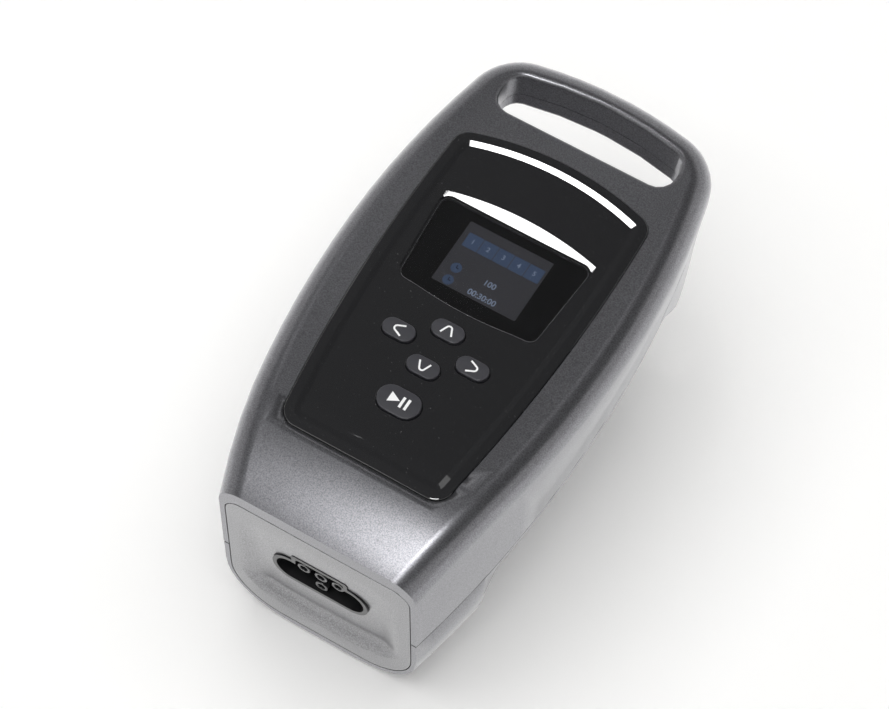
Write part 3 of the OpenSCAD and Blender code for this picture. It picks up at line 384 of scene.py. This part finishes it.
def round_parting_edge(piece, side):
    """Rounds the outer edge where a shell meets the other, and returns the new faces' numbers.

    The shell's rim faces down where side is -1, and up where it is 1.
    """
    mesh = piece.data
    facing = {}
    for face in mesh.polygons:
        outward = face.normal.x * face.center.x + face.normal.y * face.center.y > 0
        wall = outward and abs(face.normal.z) < UPRIGHT
        kind = "rim" if face.normal.z * side > LEVEL else "wall" if wall else None
        for key in face.edge_keys:
            facing.setdefault(key, set()).add(kind)
    chosen = set()
    for edge in mesh.edges:
        middle = (mesh.vertices[edge.vertices[0]].co + mesh.vertices[edge.vertices[1]].co) / 2
        if facing[edge.key] == {"rim", "wall"} and PARTING_LOW < in_mm(middle)[2] < PARTING_HIGH:
            chosen.add(edge.index)
    only(piece)
    bpy.ops.object.mode_set(mode="EDIT")
    bpy.ops.mesh.select_mode(type="EDGE")
    bpy.ops.mesh.select_all(action="DESELECT")
    bpy.ops.object.mode_set(mode="OBJECT")
    for edge in mesh.edges:
        edge.select = edge.index in chosen
    bpy.ops.object.mode_set(mode="EDIT")
    bpy.ops.mesh.bevel(offset=PARTING_EDGE_R * MM, segments=2, affect="EDGES")
    bpy.ops.object.mode_set(mode="OBJECT")
    return [face.index for face in mesh.polygons if face.select]


def shade_top_true(piece):
    """Gives each point that lies on the crowned top the normal of that surface."""
    mesh = piece.data
    normals = [corner.vector.copy() for corner in mesh.corner_normals]
    for face in mesh.polygons:
        for loop in face.loop_indices:
            x, y, z = in_mm(mesh.vertices[mesh.loops[loop].vertex_index].co)
            if face.normal.z > TOP_FACE and abs(z - top_at(x, y)) < TOP_MATCH:
                normals[loop] = top_normal(x, y)
    mesh.normals_split_custom_set(normals)


def painted_shell(node, name, slot, rim_side):
    """Half of the housing. Its rounded edge at the parting line is given the black plastic finish, as
    painted shade for the dark line of the seam.
    """
    piece = copied(node, name)
    painted_seam_shade_faces = round_parting_edge(piece, rim_side)
    soften(piece, SMOOTH_TURN, flat_faces=False)
    shade_top_true(piece)
    dress(piece, finishes[slot])
    # Black on the rounded parting edge is painted shade that stands in for the seam's dark line.
    piece.data.materials.append(finishes["black_plastic"].material)
    for index in painted_seam_shade_faces:
        piece.data.polygons[index].material_index = 1


def rounded_copy(node, name, slot, width, angle=35):
    """A node with its sharp edges rounded."""
    piece = copied(node, name)
    round_edges(piece, width, 2, angle)
    soften(piece, SMOOTH_TURN)
    return dress(piece, finishes[slot])


painted_shell("upper_housing", "upper_cover", "housing_paint", -1)
painted_shell("lower_housing", "lower_cover", "housing_paint", 1)
rounded_copy("front_plate", "dished_plate", "plate_paint", 0.35, 60)
rounded_copy("port_socket", "port_recess", "black_plastic", 0.25)
for spot in ("left", "middle", "right", "lower"):
    rounded_copy("nozzle_" + spot, "air_nozzle_" + spot, "nozzle_plastic", 0.3)
rounded_copy("rubber_feet", "soft_feet", "soft_rubber", 0.3)
rounded_copy("power_inlet", "charging_socket", "black_plastic", 0.2)


# ------------------------------------------------------------------ fascia

FASCIA_HALF, FASCIA_SIDE_R, FASCIA_WIDEST = 47.4, 725.0, 148.0
FASCIA_FRONT, FASCIA_BACK, FASCIA_BACK_R, FASCIA_CORNER_R = 33.5, 196.4, 140.0, 8.0
FASCIA_T, FASCIA_PROUD = 2.3, 0.2
FASCIA_EDGE_R = 0.5
RIM_W, RAMP_W, TRAY = 4.2, 2.6, 0.4
WINDOW_FRONT, WINDOW_BACK, WINDOW_BOW, WINDOW_CORNER_R = 115.7, 158.0, 2.4, 4.0
WINDOW_FRONT_HALF, WINDOW_BACK_HALF, WINDOW_DEPTH, WINDOW_LIP = 32.5, 35.6, 0.8, 1.0
WINDOW_FIT = 0.1                        # gap between the glass and its hole
FRONT_CORNER_OUT, FRONT_CORNER_FORWARD, BACK_CORNER_IN = 0.1, 0.5, 0.3  # trims of the window's corners
CRESCENT, CRESCENT_END, CRESCENT_HALF = 6.5, 2.0, 36.0
CRESCENT_COLUMNS, CRESCENT_TOOL_T = 24, 3
PAST_ARC, PAST_WINDOW = 2, 1            # how far the crescent's tool reaches over its two edges
CLEAR_TOP = 2                           # how far a cutting tool stands above the fascia
KEY_HOLE_RIM, KEY_HOLE_LOW = 0.3, -4
ARROW_KEY, START_KEY = (15.1, 9.0), (19.9, 12.9)
ARROW_ROW_Y, ARROW_X, ARROW_Y, START_Y = 92.25, 17.5, 9.7, 63.9
KEYS = {                                # x, y, width and height of each key's hole
    "left": (-ARROW_X, ARROW_ROW_Y, *ARROW_KEY),
    "right": (ARROW_X, ARROW_ROW_Y, *ARROW_KEY),
    "up": (0, ARROW_ROW_Y + ARROW_Y, *ARROW_KEY),
    "down": (0, ARROW_ROW_Y - ARROW_Y, *ARROW_KEY),
    "start": (0, START_Y, *START_KEY),
}


def fascia_outline():
    r = FASCIA_CORNER_R
    side, back = (FASCIA_HALF - FASCIA_SIDE_R, FASCIA_WIDEST), (0, FASCIA_BACK - FASCIA_BACK_R)
    y = FASCIA_FRONT + r
    front_corner = (side[0] + math.sqrt((FASCIA_SIDE_R - r) ** 2 - (y - FASCIA_WIDEST) ** 2), y)
    back_corner = circles_meet(back, FASCIA_BACK_R - r, side, FASCIA_SIDE_R - r)
    front_turn, side_turn = heading(side, front_corner), heading(side, back_corner)
    back_turn = heading(back, back_corner)
    return mirrored(arc(front_corner, r, -90, front_turn, 8)
                    + arc(side, FASCIA_SIDE_R, front_turn, side_turn, 20)[1:-1]
                    + arc(back_corner, r, side_turn, back_turn, 8)
                    + arc(back, FASCIA_BACK_R, back_turn, 90, 10)[1:])


def window_outline(grow=0.0):
    """Two front corners and two back corners, and a front edge that bulges forwards."""
    r = WINDOW_CORNER_R
    lean = heading((WINDOW_FRONT_HALF, WINDOW_FRONT), (WINDOW_BACK_HALF, WINDOW_BACK)) - 90
    dip = math.degrees(math.atan2(2 * WINDOW_BOW, WINDOW_FRONT_HALF))
    front = (WINDOW_FRONT_HALF - r + FRONT_CORNER_OUT, WINDOW_FRONT + r - FRONT_CORNER_FORWARD)
    rear = (WINDOW_BACK_HALF - r - BACK_CORNER_IN, WINDOW_BACK - r)
    bulge = [(u * front[0], WINDOW_FRONT - grow - WINDOW_BOW * (1 - u * u))
             for u in (0.2, 0.4, 0.6, 0.8)]
    half = [(0, WINDOW_FRONT - WINDOW_BOW - grow)] + bulge
    return mirrored(half + arc(front, r + grow, dip - 90, lean, 6) + arc(rear, r + grow, lean, 90, 6))


def quarter(radius, steps, rising):
    """Inset and depth of each step of a rounded edge, from the wall up to the face where it
    is rising, and from the face down to the wall where it isn't."""
    turns = [math.radians(90 * i / steps) for i in range(steps + 1)]
    flat = [radius * (1 - math.cos(t)) for t in turns]
    steep = [radius * math.sin(t) for t in turns]
    first, second = (flat, steep) if rising else (steep, flat)
    return [(first[i + 1] - first[i], second[i + 1] - second[i]) for i in range(steps)]


def step_in(steps):
    """Insets the chosen faces step by step."""
    for inward, outward in steps:
        bpy.ops.mesh.inset(thickness=inward * MM, depth=outward * MM)


def push(distance):
    """Draws the chosen faces out along Z."""
    bpy.ops.mesh.extrude_region_move(TRANSFORM_OT_translate={"value": (0, 0, distance * MM)})


def hole_tool(outline, rim, low):
    """What a hole with a rounded rim takes away; the outline is the rim's outer edge at height 0."""
    tool = prism(outline, "hole_tool", 0, CLEAR_TOP)

    def sink():
        step_in(quarter(rim, 4, False))
        push(low + rim)

    on_faces(tool, lambda face: face.normal.z < -LEVEL, sink)
    return tool


def crescent_tool():
    """A wedge whose underside falls from an arc to the window's back edge."""
    slope = WINDOW_DEPTH / CRESCENT
    deselect()
    bpy.ops.mesh.primitive_grid_add(x_subdivisions=CRESCENT_COLUMNS, y_subdivisions=1, size=2,
                                    location=(0, 0, 0))
    tool = bpy.context.object
    floor = FASCIA_PROUD - TRAY
    for vertex in tool.data.vertices:
        x = vertex.co.x * CRESCENT_HALF
        arc_y = WINDOW_BACK + mix(CRESCENT, CRESCENT_END, vertex.co.x ** 2)
        y = arc_y + PAST_ARC if vertex.co.y > 0 else WINDOW_BACK - PAST_WINDOW
        z = floor + slope * (y - arc_y)
        vertex.co = (x * MM, (y - HALF_LENGTH) * MM, z * MM)

    def pull_up():
        push(CRESCENT_TOOL_T)
        bpy.ops.mesh.select_all(action="SELECT")
        bpy.ops.mesh.normals_make_consistent(inside=False)

    in_edit(tool, pull_up)
    return tool


def bend(piece, lift, xs, ys):
    """Cuts a piece along planes and raises each point by the height of a surface there."""
    planes = [((x, 0), (1, 0, 0)) for x in xs]
    planes += [((0, y - HALF_LENGTH), (0, 1, 0)) for y in ys]

    def slice_up():
        for place, normal in planes:
            bpy.ops.mesh.select_all(action="SELECT")
            bpy.ops.mesh.bisect(plane_co=(place[0] * MM, place[1] * MM, 0), plane_no=normal)

    in_edit(piece, slice_up)
    for vertex in piece.data.vertices:
        vertex.co.z += lift(vertex.co.x / MM, vertex.co.y / MM + HALF_LENGTH) * MM


def gloss_fascia():
    """The fascia, made flat with its rim, ramp, tray and holes, and then bent over the housing."""
    piece = prism(fascia_outline(), "gloss_fascia", -FASCIA_T, FASCIA_PROUD - FASCIA_EDGE_R)
    steps = quarter(FASCIA_EDGE_R, 4, True) + [(RIM_W - FASCIA_EDGE_R, 0), (RAMP_W, -TRAY)]
    on_faces(piece, lambda face: face.normal.z > LEVEL, lambda: step_in(steps))
    floor = FASCIA_PROUD - TRAY
    cut(piece, crescent_tool())
    cut(piece, prism(window_outline(WINDOW_LIP), "pocket_tool", floor - WINDOW_DEPTH, CLEAR_TOP))
    cut(piece, prism(window_outline(WINDOW_FIT), "window_tool", -FASCIA_T - 1, CLEAR_TOP))
    for x, y, w, h in KEYS.values():
        rim = stadium(w + 2 * KEY_HOLE_RIM, h + 2 * KEY_HOLE_RIM)
        tool = hole_tool(moved(rim, x, y), KEY_HOLE_RIM, KEY_HOLE_LOW)
        for vertex in tool.data.vertices:
            vertex.co.z += floor * MM
        cut(piece, tool)
    bend(piece, top_at, range(-45, 46, 5), range(34, 50, 2))
    modify(piece, "TRIANGULATE")
    soften(piece, 6)
    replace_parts(piece, "control_fascia")
    return dress(piece, finishes["fascia_gloss"])


gloss_fascia()


# ------------------------------------------------------------------ window and display

LENS_LOW, LENS_TOP, LENS_BEVEL = 108.64, 110.6, 0.25
MASK_LOW, MASK_TOP = 108.50, 108.62
DISPLAY_Y, DISPLAY_W, DISPLAY_H = 137.4, 40.0, 32.0
PANEL_LOW, PANEL_TOP, PANEL_RIM = 104.4, 108.3, 2.5
FIGURE_T = 0.03                         # how far the lit figures stand on the panel
FIGURE_BOLD = 0.05                      # how much the digits' strokes grow on each side
CELLS, CELL_GAP = 5, 0.35
DIGIT_HEIGHT, CELL_DIGIT_HEIGHT = 2.7, 2.2
FONT_SIZE = 1.42                        # a font's size over the height of its digits
BORDER_INSET = 0.2                      # how far the printed border stays inside the glass's edge
BORDER_TOOL_LOW, BORDER_TOOL_HIGH = 100, 112
PANEL_CORNER_R, PANEL_EDGE_R, OPENING_CORNER_R, CELL_CORNER_R = 1, 0.15, 0.5, 0.3
# Places on the display, as shares of its width and, from its back edge, of its height
BAR_LEFT_FRONT, BAR_RIGHT_BACK = (0.06, 0.37), (0.97, 0.15)
UPPER_NUMBER, LOWER_NUMBER = (0.56, 0.70), (0.565, 0.915)
DIAL_SHARE, DIAL_ROWS = 0.158, (0.70, 0.905)
DIAL_R, DIAL_SIDES, HAND_HALF, HAND_LONG, HAND_SHORT = 2.4, 32, 0.18, 1.5, 1.1
SLANT_LOW, SLANT_HIGH = 0.1, 0.95       # the glass's slanting edge rises between these


def box_outline(x0, x1, y0, y1, r=0.0, steps=4):
    if not r:
        return [(x0, y0), (x1, y0), (x1, y1), (x0, y1)]
    corners = [(x1 - r, y0 + r, -90), (x1 - r, y1 - r, 0), (x0 + r, y1 - r, 90), (x0 + r, y0 + r, 180)]
    return [point for x, y, turn in corners for point in arc((x, y), r, turn, turn + 90, steps)]


def joined(pieces, name):
    """Makes several pieces one, in the first one's place."""
    deselect()
    for piece in pieces:
        piece.select_set(True)
    bpy.context.view_layer.objects.active = pieces[0]
    if len(pieces) > 1:
        bpy.ops.object.join()
    pieces[0].name = name
    return pieces[0]


def on_display(u, v):
    """A place from shares of the display's width and, from its back edge, of its height."""
    return (DISPLAY_W * (u - 0.5), DISPLAY_Y + DISPLAY_H * (0.5 - v))


def number(digits, place, height):
    """Plain digits that lie flat on the display."""
    deselect()
    bpy.ops.object.text_add(location=(0, 0, 0))
    curve = bpy.context.object.data
    curve.body, curve.size = digits, FONT_SIZE * height * MM
    curve.extrude, curve.offset = FIGURE_T / 2 * MM, FIGURE_BOLD * MM
    curve.align_x, curve.align_y = "CENTER", "CENTER"
    bpy.ops.object.convert(target="MESH")
    piece = bpy.context.object
    for vertex in piece.data.vertices:
        vertex.co += Vector((place[0], place[1] - HALF_LENGTH, PANEL_TOP + FIGURE_T)) * MM
    return piece


def window_glass():
    """The glass, whose slanting edge is painted a lighter grey as a painted highlight along the edge."""
    piece = prism(window_outline(), "window_glass", LENS_LOW, LENS_TOP)
    round_edges(piece, LENS_BEVEL, 3, 35)
    soften(piece, 20)
    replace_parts(piece, "screen_window")
    dress(piece, finishes["window_gloss"])
    # The slanting edge faces get a lighter grey: a painted highlight.
    piece.data.materials.append(painted_edge_highlight.material)
    for face in piece.data.polygons:
        if SLANT_LOW < face.normal.z < SLANT_HIGH:
            face.material_index = 1


def printed_border():
    """The black print under the glass, open over the display."""
    piece = prism(window_outline(-BORDER_INSET), "printed_border", MASK_LOW, MASK_TOP)
    x, y = DISPLAY_W / 2, DISPLAY_H / 2
    opening = box_outline(-x, x, DISPLAY_Y - y, DISPLAY_Y + y, OPENING_CORNER_R)
    cut(piece, prism(opening, "border_tool", BORDER_TOOL_LOW, BORDER_TOOL_HIGH))
    return dress(piece, border_ink)


def figure(outline, name, thickness=FIGURE_T):
    """A thin shape that stands on the panel."""
    return prism(outline, name, PANEL_TOP, PANEL_TOP + thickness)


def display():
    """The panel with its bar of numbered cells, two numbers and two dials."""
    x, y = DISPLAY_W / 2 + PANEL_RIM, DISPLAY_H / 2 + PANEL_RIM
    outline = box_outline(-x, x, DISPLAY_Y - y, DISPLAY_Y + y, PANEL_CORNER_R)
    panel = prism(outline, "display_glass", PANEL_LOW, PANEL_TOP)
    round_edges(panel, PANEL_EDGE_R)
    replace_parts(panel, "display_panel")
    dress(panel, finishes["display"])

    start, end = on_display(*BAR_LEFT_FRONT), on_display(*BAR_RIGHT_BACK)
    width = (end[0] - start[0] + CELL_GAP) / CELLS
    cells, digits = [], []
    for i in range(CELLS):
        x = start[0] + i * width
        cell = box_outline(x, x + width - CELL_GAP, start[1], end[1], CELL_CORNER_R)
        cells.append(figure(cell, "cell"))
        middle = (x + (width - CELL_GAP) / 2, (start[1] + end[1]) / 2)
        digits.append(number(str(i + 1), middle, CELL_DIGIT_HEIGHT))
    dress(joined(cells, "display_bar"), lit_blue)
    digits.append(number("100", on_display(*UPPER_NUMBER), DIGIT_HEIGHT))
    digits.append(number("00:30:00", on_display(*LOWER_NUMBER), DIGIT_HEIGHT))
    dress(joined(digits, "display_digits"), lit_pale)

    discs, hands = [], []
    for row in DIAL_ROWS:
        cx, cy = on_display(DIAL_SHARE, row)
        discs.append(figure(arc((cx, cy), DIAL_R, 0, 360 - 360 / DIAL_SIDES, DIAL_SIDES - 1), "disc"))
        for reach_x, reach_y in ((HAND_HALF, HAND_LONG), (HAND_SHORT, HAND_HALF)):
            hand = box_outline(cx - HAND_HALF, cx + reach_x, cy - HAND_HALF, cy + reach_y)
            hands.append(figure(hand, "hand", 2 * FIGURE_T))
    dress(joined(discs, "display_dials"), lit_blue)
    dress(joined(hands, "display_hands"), display_dark)


def lit(name, color, strength):
    """A finish for figures that glow faintly in one colour."""
    made = moulded(name, tuple(0.3 * c for c in color), 0.4)
    made.feed("Emission Color", (*color, 1))
    made.feed("Emission Strength", strength)
    return made


lit_blue = lit("lit blue", (0.11, 0.17, 0.30), 0.55)
lit_pale = lit("lit pale figures", (0.34, 0.42, 0.56), 0.8)
display_dark = moulded("dark figures", (0.03, 0.03, 0.04), 0.4)
border_ink = moulded("printed border", (0.010, 0.010, 0.011), 0.5, specular_ior_level=0.1)
# A lighter grey for the glass's slanting edge: a painted highlight, not a ground finish.
painted_edge_highlight = moulded("painted glass edge highlight", (0.20, 0.20, 0.21), 0.4)

window_glass()
printed_border()
display()


# ------------------------------------------------------------------ keys

KEY_GAP, KEY_FLANGE, KEY_FLANGE_T = 0.25, 1.2, 1.1
KEY_SEAT, KEY_TOP, KEY_STEM_LOW, KEY_STEM_R = 108.3, 113.0, 106.15, 1.6
KEY_CROWN_R, KEY_RIM_R = 30.0, 0.45
KEY_ROWS = 12                           # strips that a key's crown is cut into
SYMBOL_RISE, SYMBOL_SINK = 0.03, 0.2    # how far a symbol stands out of its key and reaches into it
STROKE = 0.78                           # width of the strokes of an arrow symbol
ARROW_SPAN, ARROW_TURN_R, ARROW_SLANT = 5.2, 1.25, 66.0
TRIANGLE_LEFT, TRIANGLE_LENGTH, TRIANGLE_HALF = -4.45, 4.8, 2.5
BAR_HALF_WIDTH, BAR_HALF_HEIGHT, BARS_FROM_LEFT = 0.6, 2.6, (5.9, 8.3)


def arrow_symbol(turn):
    """A thin bent arrow that points along +Y before it is turned."""
    slant = math.radians(ARROW_SLANT)
    side = (math.sin(slant), math.cos(slant))
    reach = ARROW_SPAN / 2
    end_y = ARROW_TURN_R * side[1] - (reach - ARROW_TURN_R * side[0]) * math.tan(slant)
    ring = []
    for offset, order in ((STROKE / 2, 1), (-STROKE / 2, -1)):
        half = [(reach + offset * side[0], end_y + offset * side[1])]
        half += arc((0, 0), ARROW_TURN_R + offset, 90 - ARROW_SLANT, 90, 6)
        whole = half + [(-x, y) for x, y in reversed(half[:-1])]
        ring += whole[::order]
    lift = -(end_y + ARROW_TURN_R) / 2
    c, s = math.cos(math.radians(turn)), math.sin(math.radians(turn))
    return [[(x * c - (y + lift) * s, x * s + (y + lift) * c) for x, y in ring]]


def start_symbol():
    """A triangle and two bars."""
    x0 = TRIANGLE_LEFT
    bars = [box_outline(x0 + x - BAR_HALF_WIDTH, x0 + x + BAR_HALF_WIDTH, -BAR_HALF_HEIGHT, BAR_HALF_HEIGHT)
            for x in BARS_FROM_LEFT]
    return [[(x0, -TRIANGLE_HALF), (x0 + TRIANGLE_LENGTH, 0), (x0, TRIANGLE_HALF)]] + bars


SYMBOLS = {"up": arrow_symbol(0), "left": arrow_symbol(90), "down": arrow_symbol(180),
           "right": arrow_symbol(-90), "start": start_symbol()}


def crowned_key(name):
    """A key with its flange and stem, and its printed symbol."""
    x, y, w, h = KEYS[name]
    body = name + "_key"

    def crown(at_x, at_y):
        return math.sqrt(KEY_CROWN_R ** 2 - (at_y - y) ** 2) - KEY_CROWN_R

    def cap_outline(grow):
        return moved(stadium(w + 2 * grow, h + 2 * grow, 16), x, y)

    cap = prism(cap_outline(-KEY_GAP), "cap", KEY_SEAT, KEY_TOP - KEY_RIM_R)
    on_faces(cap, lambda face: face.normal.z > LEVEL, lambda: step_in(quarter(KEY_RIM_R, 5, True)))
    rows = [y + (h - 1) * (i / KEY_ROWS - 0.5) for i in range(KEY_ROWS + 1)]
    bend(cap, crown, (), rows)
    flange_low = KEY_SEAT - KEY_FLANGE_T
    flange = prism(cap_outline(KEY_FLANGE - KEY_GAP), "flange", flange_low, KEY_SEAT)
    round_stem = moved(arc((0, 0), KEY_STEM_R, 0, 345, 23), x, y)
    stem = prism(round_stem, "stem", KEY_STEM_LOW, flange_low)
    piece = joined([cap, flange, stem], name + "_key_cap")
    soften(piece, 30)
    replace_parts(piece, "key_" + name)
    dress(piece, finishes["key_satin"], body)

    marks = [prism(moved(outline, x, y), "mark", KEY_TOP - SYMBOL_SINK, KEY_TOP + SYMBOL_RISE)
             for outline in SYMBOLS[name]]
    symbol = joined(marks, name + "_key_symbol")
    bend(symbol, crown, (), rows)
    dress(symbol, symbol_ink, body)


symbol_ink = moulded("white key print", (0.86, 0.86, 0.86), 0.5)
for name in KEYS:
    crowned_key(name)


# ------------------------------------------------------------------ floor, light and camera

# From here on, lengths are in metres where they don't say MM.
FLOOR_SIZE = 8.0
BACKDROP_RADIUS, BACKDROP_HEIGHT = 3.4, 2.2
FLOOR_GLOW, WALL_GLOW = (0.12, 0.75), (0.8, 0.45)   # added for the eye, and in reflections
WORLD_DARK, WORLD_LIGHT = 0.06, 0.25
WORLD_TURN = 0.6                        # how far the change from dark to light reaches each way
LIT_SIDE = (-0.63, -0.50, 0.10)         # the room is lighter on this side of the object


def pale_paper(name, seen_glow, mirror_glow):
    """White paper that looks lighter, to the eye and in reflections, than the lamps make it."""
    made = Finish(name, (0.90, 0.895, 0.885), roughness=0.9, specular_ior_level=0.1)
    made.feed("Base Color", made.blend(made.noise(60.0, 2.0), (0.895, 0.89, 0.88), (0.905, 0.90, 0.89)))
    made.feed("Emission Color", seen_glow * made.node("ShaderNodeLightPath", output="Is Camera Ray")
              + mirror_glow * made.node("ShaderNodeLightPath", output="Is Glossy Ray"))
    made.feed("Emission Strength", 1.0)
    return made.material


deselect()
bpy.ops.mesh.primitive_plane_add(size=FLOOR_SIZE, location=(0, 0, 0))
floor = bpy.context.object
floor.name = "floor"
bpy.ops.mesh.primitive_cylinder_add(vertices=96, radius=BACKDROP_RADIUS, depth=BACKDROP_HEIGHT,
                                    end_fill_type="NOTHING", location=(0, 0, 0))
backdrop = bpy.context.object
backdrop.name = "backdrop"
for vertex in backdrop.data.vertices:
    vertex.co.z += BACKDROP_HEIGHT / 2
in_edit(backdrop, lambda: bpy.ops.mesh.flip_normals())
soften(backdrop, 30)
for sheet, name, glow in ((floor, "floor paper", FLOOR_GLOW), (backdrop, "wall paper", WALL_GLOW)):
    sheet.data.materials.append(pale_paper(name, *glow))

world = bpy.data.worlds.new("studio")
scene.world = world
world.use_nodes = True
sky = world.node_tree
direction = sky.nodes.new("ShaderNodeTexCoord").outputs["Generated"]
lean = sky.nodes.new("ShaderNodeVectorMath")
lean.operation = "DOT_PRODUCT"
lean.inputs[1].default_value = LIT_SIDE
sky.links.new(direction, lean.inputs[0])
level = sky.nodes.new("ShaderNodeMapRange")
level.interpolation_type = "SMOOTHSTEP"
levels = {"From Min": -WORLD_TURN, "From Max": WORLD_TURN, "To Min": WORLD_DARK, "To Max": WORLD_LIGHT}
for socket, value in levels.items():
    level.inputs[socket].default_value = value
sky.links.new(lean.outputs["Value"], level.inputs["Value"])
sky.links.new(level.outputs["Result"], sky.nodes["Background"].inputs["Strength"])
sky.nodes["Background"].inputs["Color"].default_value = (0.98, 0.99, 1.0, 1)


def softbox(name, place, width, height, radiance, target=(0, 0, 0.08), spread=180, seen=True, lights=True):
    """An area lamp that looks at a target. Its beam may be narrowed to a spread in degrees.

    It may be left out of what reflections and glass show (seen) or of the light on matt
    surfaces (lights).
    """
    data = bpy.data.lights.new(name, "AREA")
    data.shape = "RECTANGLE"
    data.size, data.size_y, data.energy = width, height, radiance * math.pi * width * height
    lamp = bpy.data.objects.new(name, data)
    scene.collection.objects.link(lamp)
    lamp.visible_glossy = lamp.visible_transmission = seen
    lamp.visible_diffuse = lights
    lamp.location = place
    data.spread = math.radians(spread)
    aim = (Vector(place) - Vector(target)).normalized()
    lamp.rotation_mode = "QUATERNION"
    lamp.rotation_quaternion = aim.to_track_quat("Z", "Y")


softbox("overhead fill", (-0.20, 0.0, 2.1), 2.8, 2.8, 2.2, seen=False)
softbox("front softbox", (-0.12, -0.84, 1.80), 0.28, 0.9, 20.0, lights=False)
softbox("gridded strip", (-0.267, 0.283, 1.11), 0.17, 0.055, 0.08, (0, 0.075, 0.11), 8.3)
softbox("left reflector", (-0.80, 0.50, 1.25), 0.14, 0.5, 0.9, lights=False)
softbox("back reflector", (0.06, 0.62, 1.45), 0.16, 0.5, 0.8, lights=False)

VIEW_AZIMUTH, VIEW_ELEVATION = 31.27, 60.78         # degrees, from the front and from the table
VIEW_TARGET = (0, -4.0 * MM, 70.45 * MM)
VIEW_DISTANCE = 1.4999
VIEW_ASIDE, VIEW_UP = 9.26 * MM, 0.27 * MM          # the target lies this far off the picture's middle
FOCAL_PIXELS, FRAME_WIDTH = 3580.18, 889
SENSOR_WIDTH = 36                                   # a camera's sensor is in millimetres

azimuth, elevation = math.radians(VIEW_AZIMUTH), math.radians(VIEW_ELEVATION)
back = Vector((math.sin(azimuth) * math.cos(elevation), -math.cos(azimuth) * math.cos(elevation),
               math.sin(elevation)))
right = Vector((math.cos(azimuth), math.sin(azimuth), 0))
up = back.cross(right)
camera = bpy.data.objects.new("camera", bpy.data.cameras.new("camera"))
scene.collection.objects.link(camera)
camera.data.sensor_width = SENSOR_WIDTH
camera.data.lens = SENSOR_WIDTH * FOCAL_PIXELS / FRAME_WIDTH
camera.data.clip_start, camera.data.clip_end = 0.05, 20
spot = Vector(VIEW_TARGET) + back * VIEW_DISTANCE - right * VIEW_ASIDE - up * VIEW_UP
turn = Matrix((right, up, back)).transposed().to_4x4()
camera.matrix_world = Matrix.Translation(spot) @ turn
bpy.context.scene.camera = camera
scene.view_settings.view_transform = "Standard"
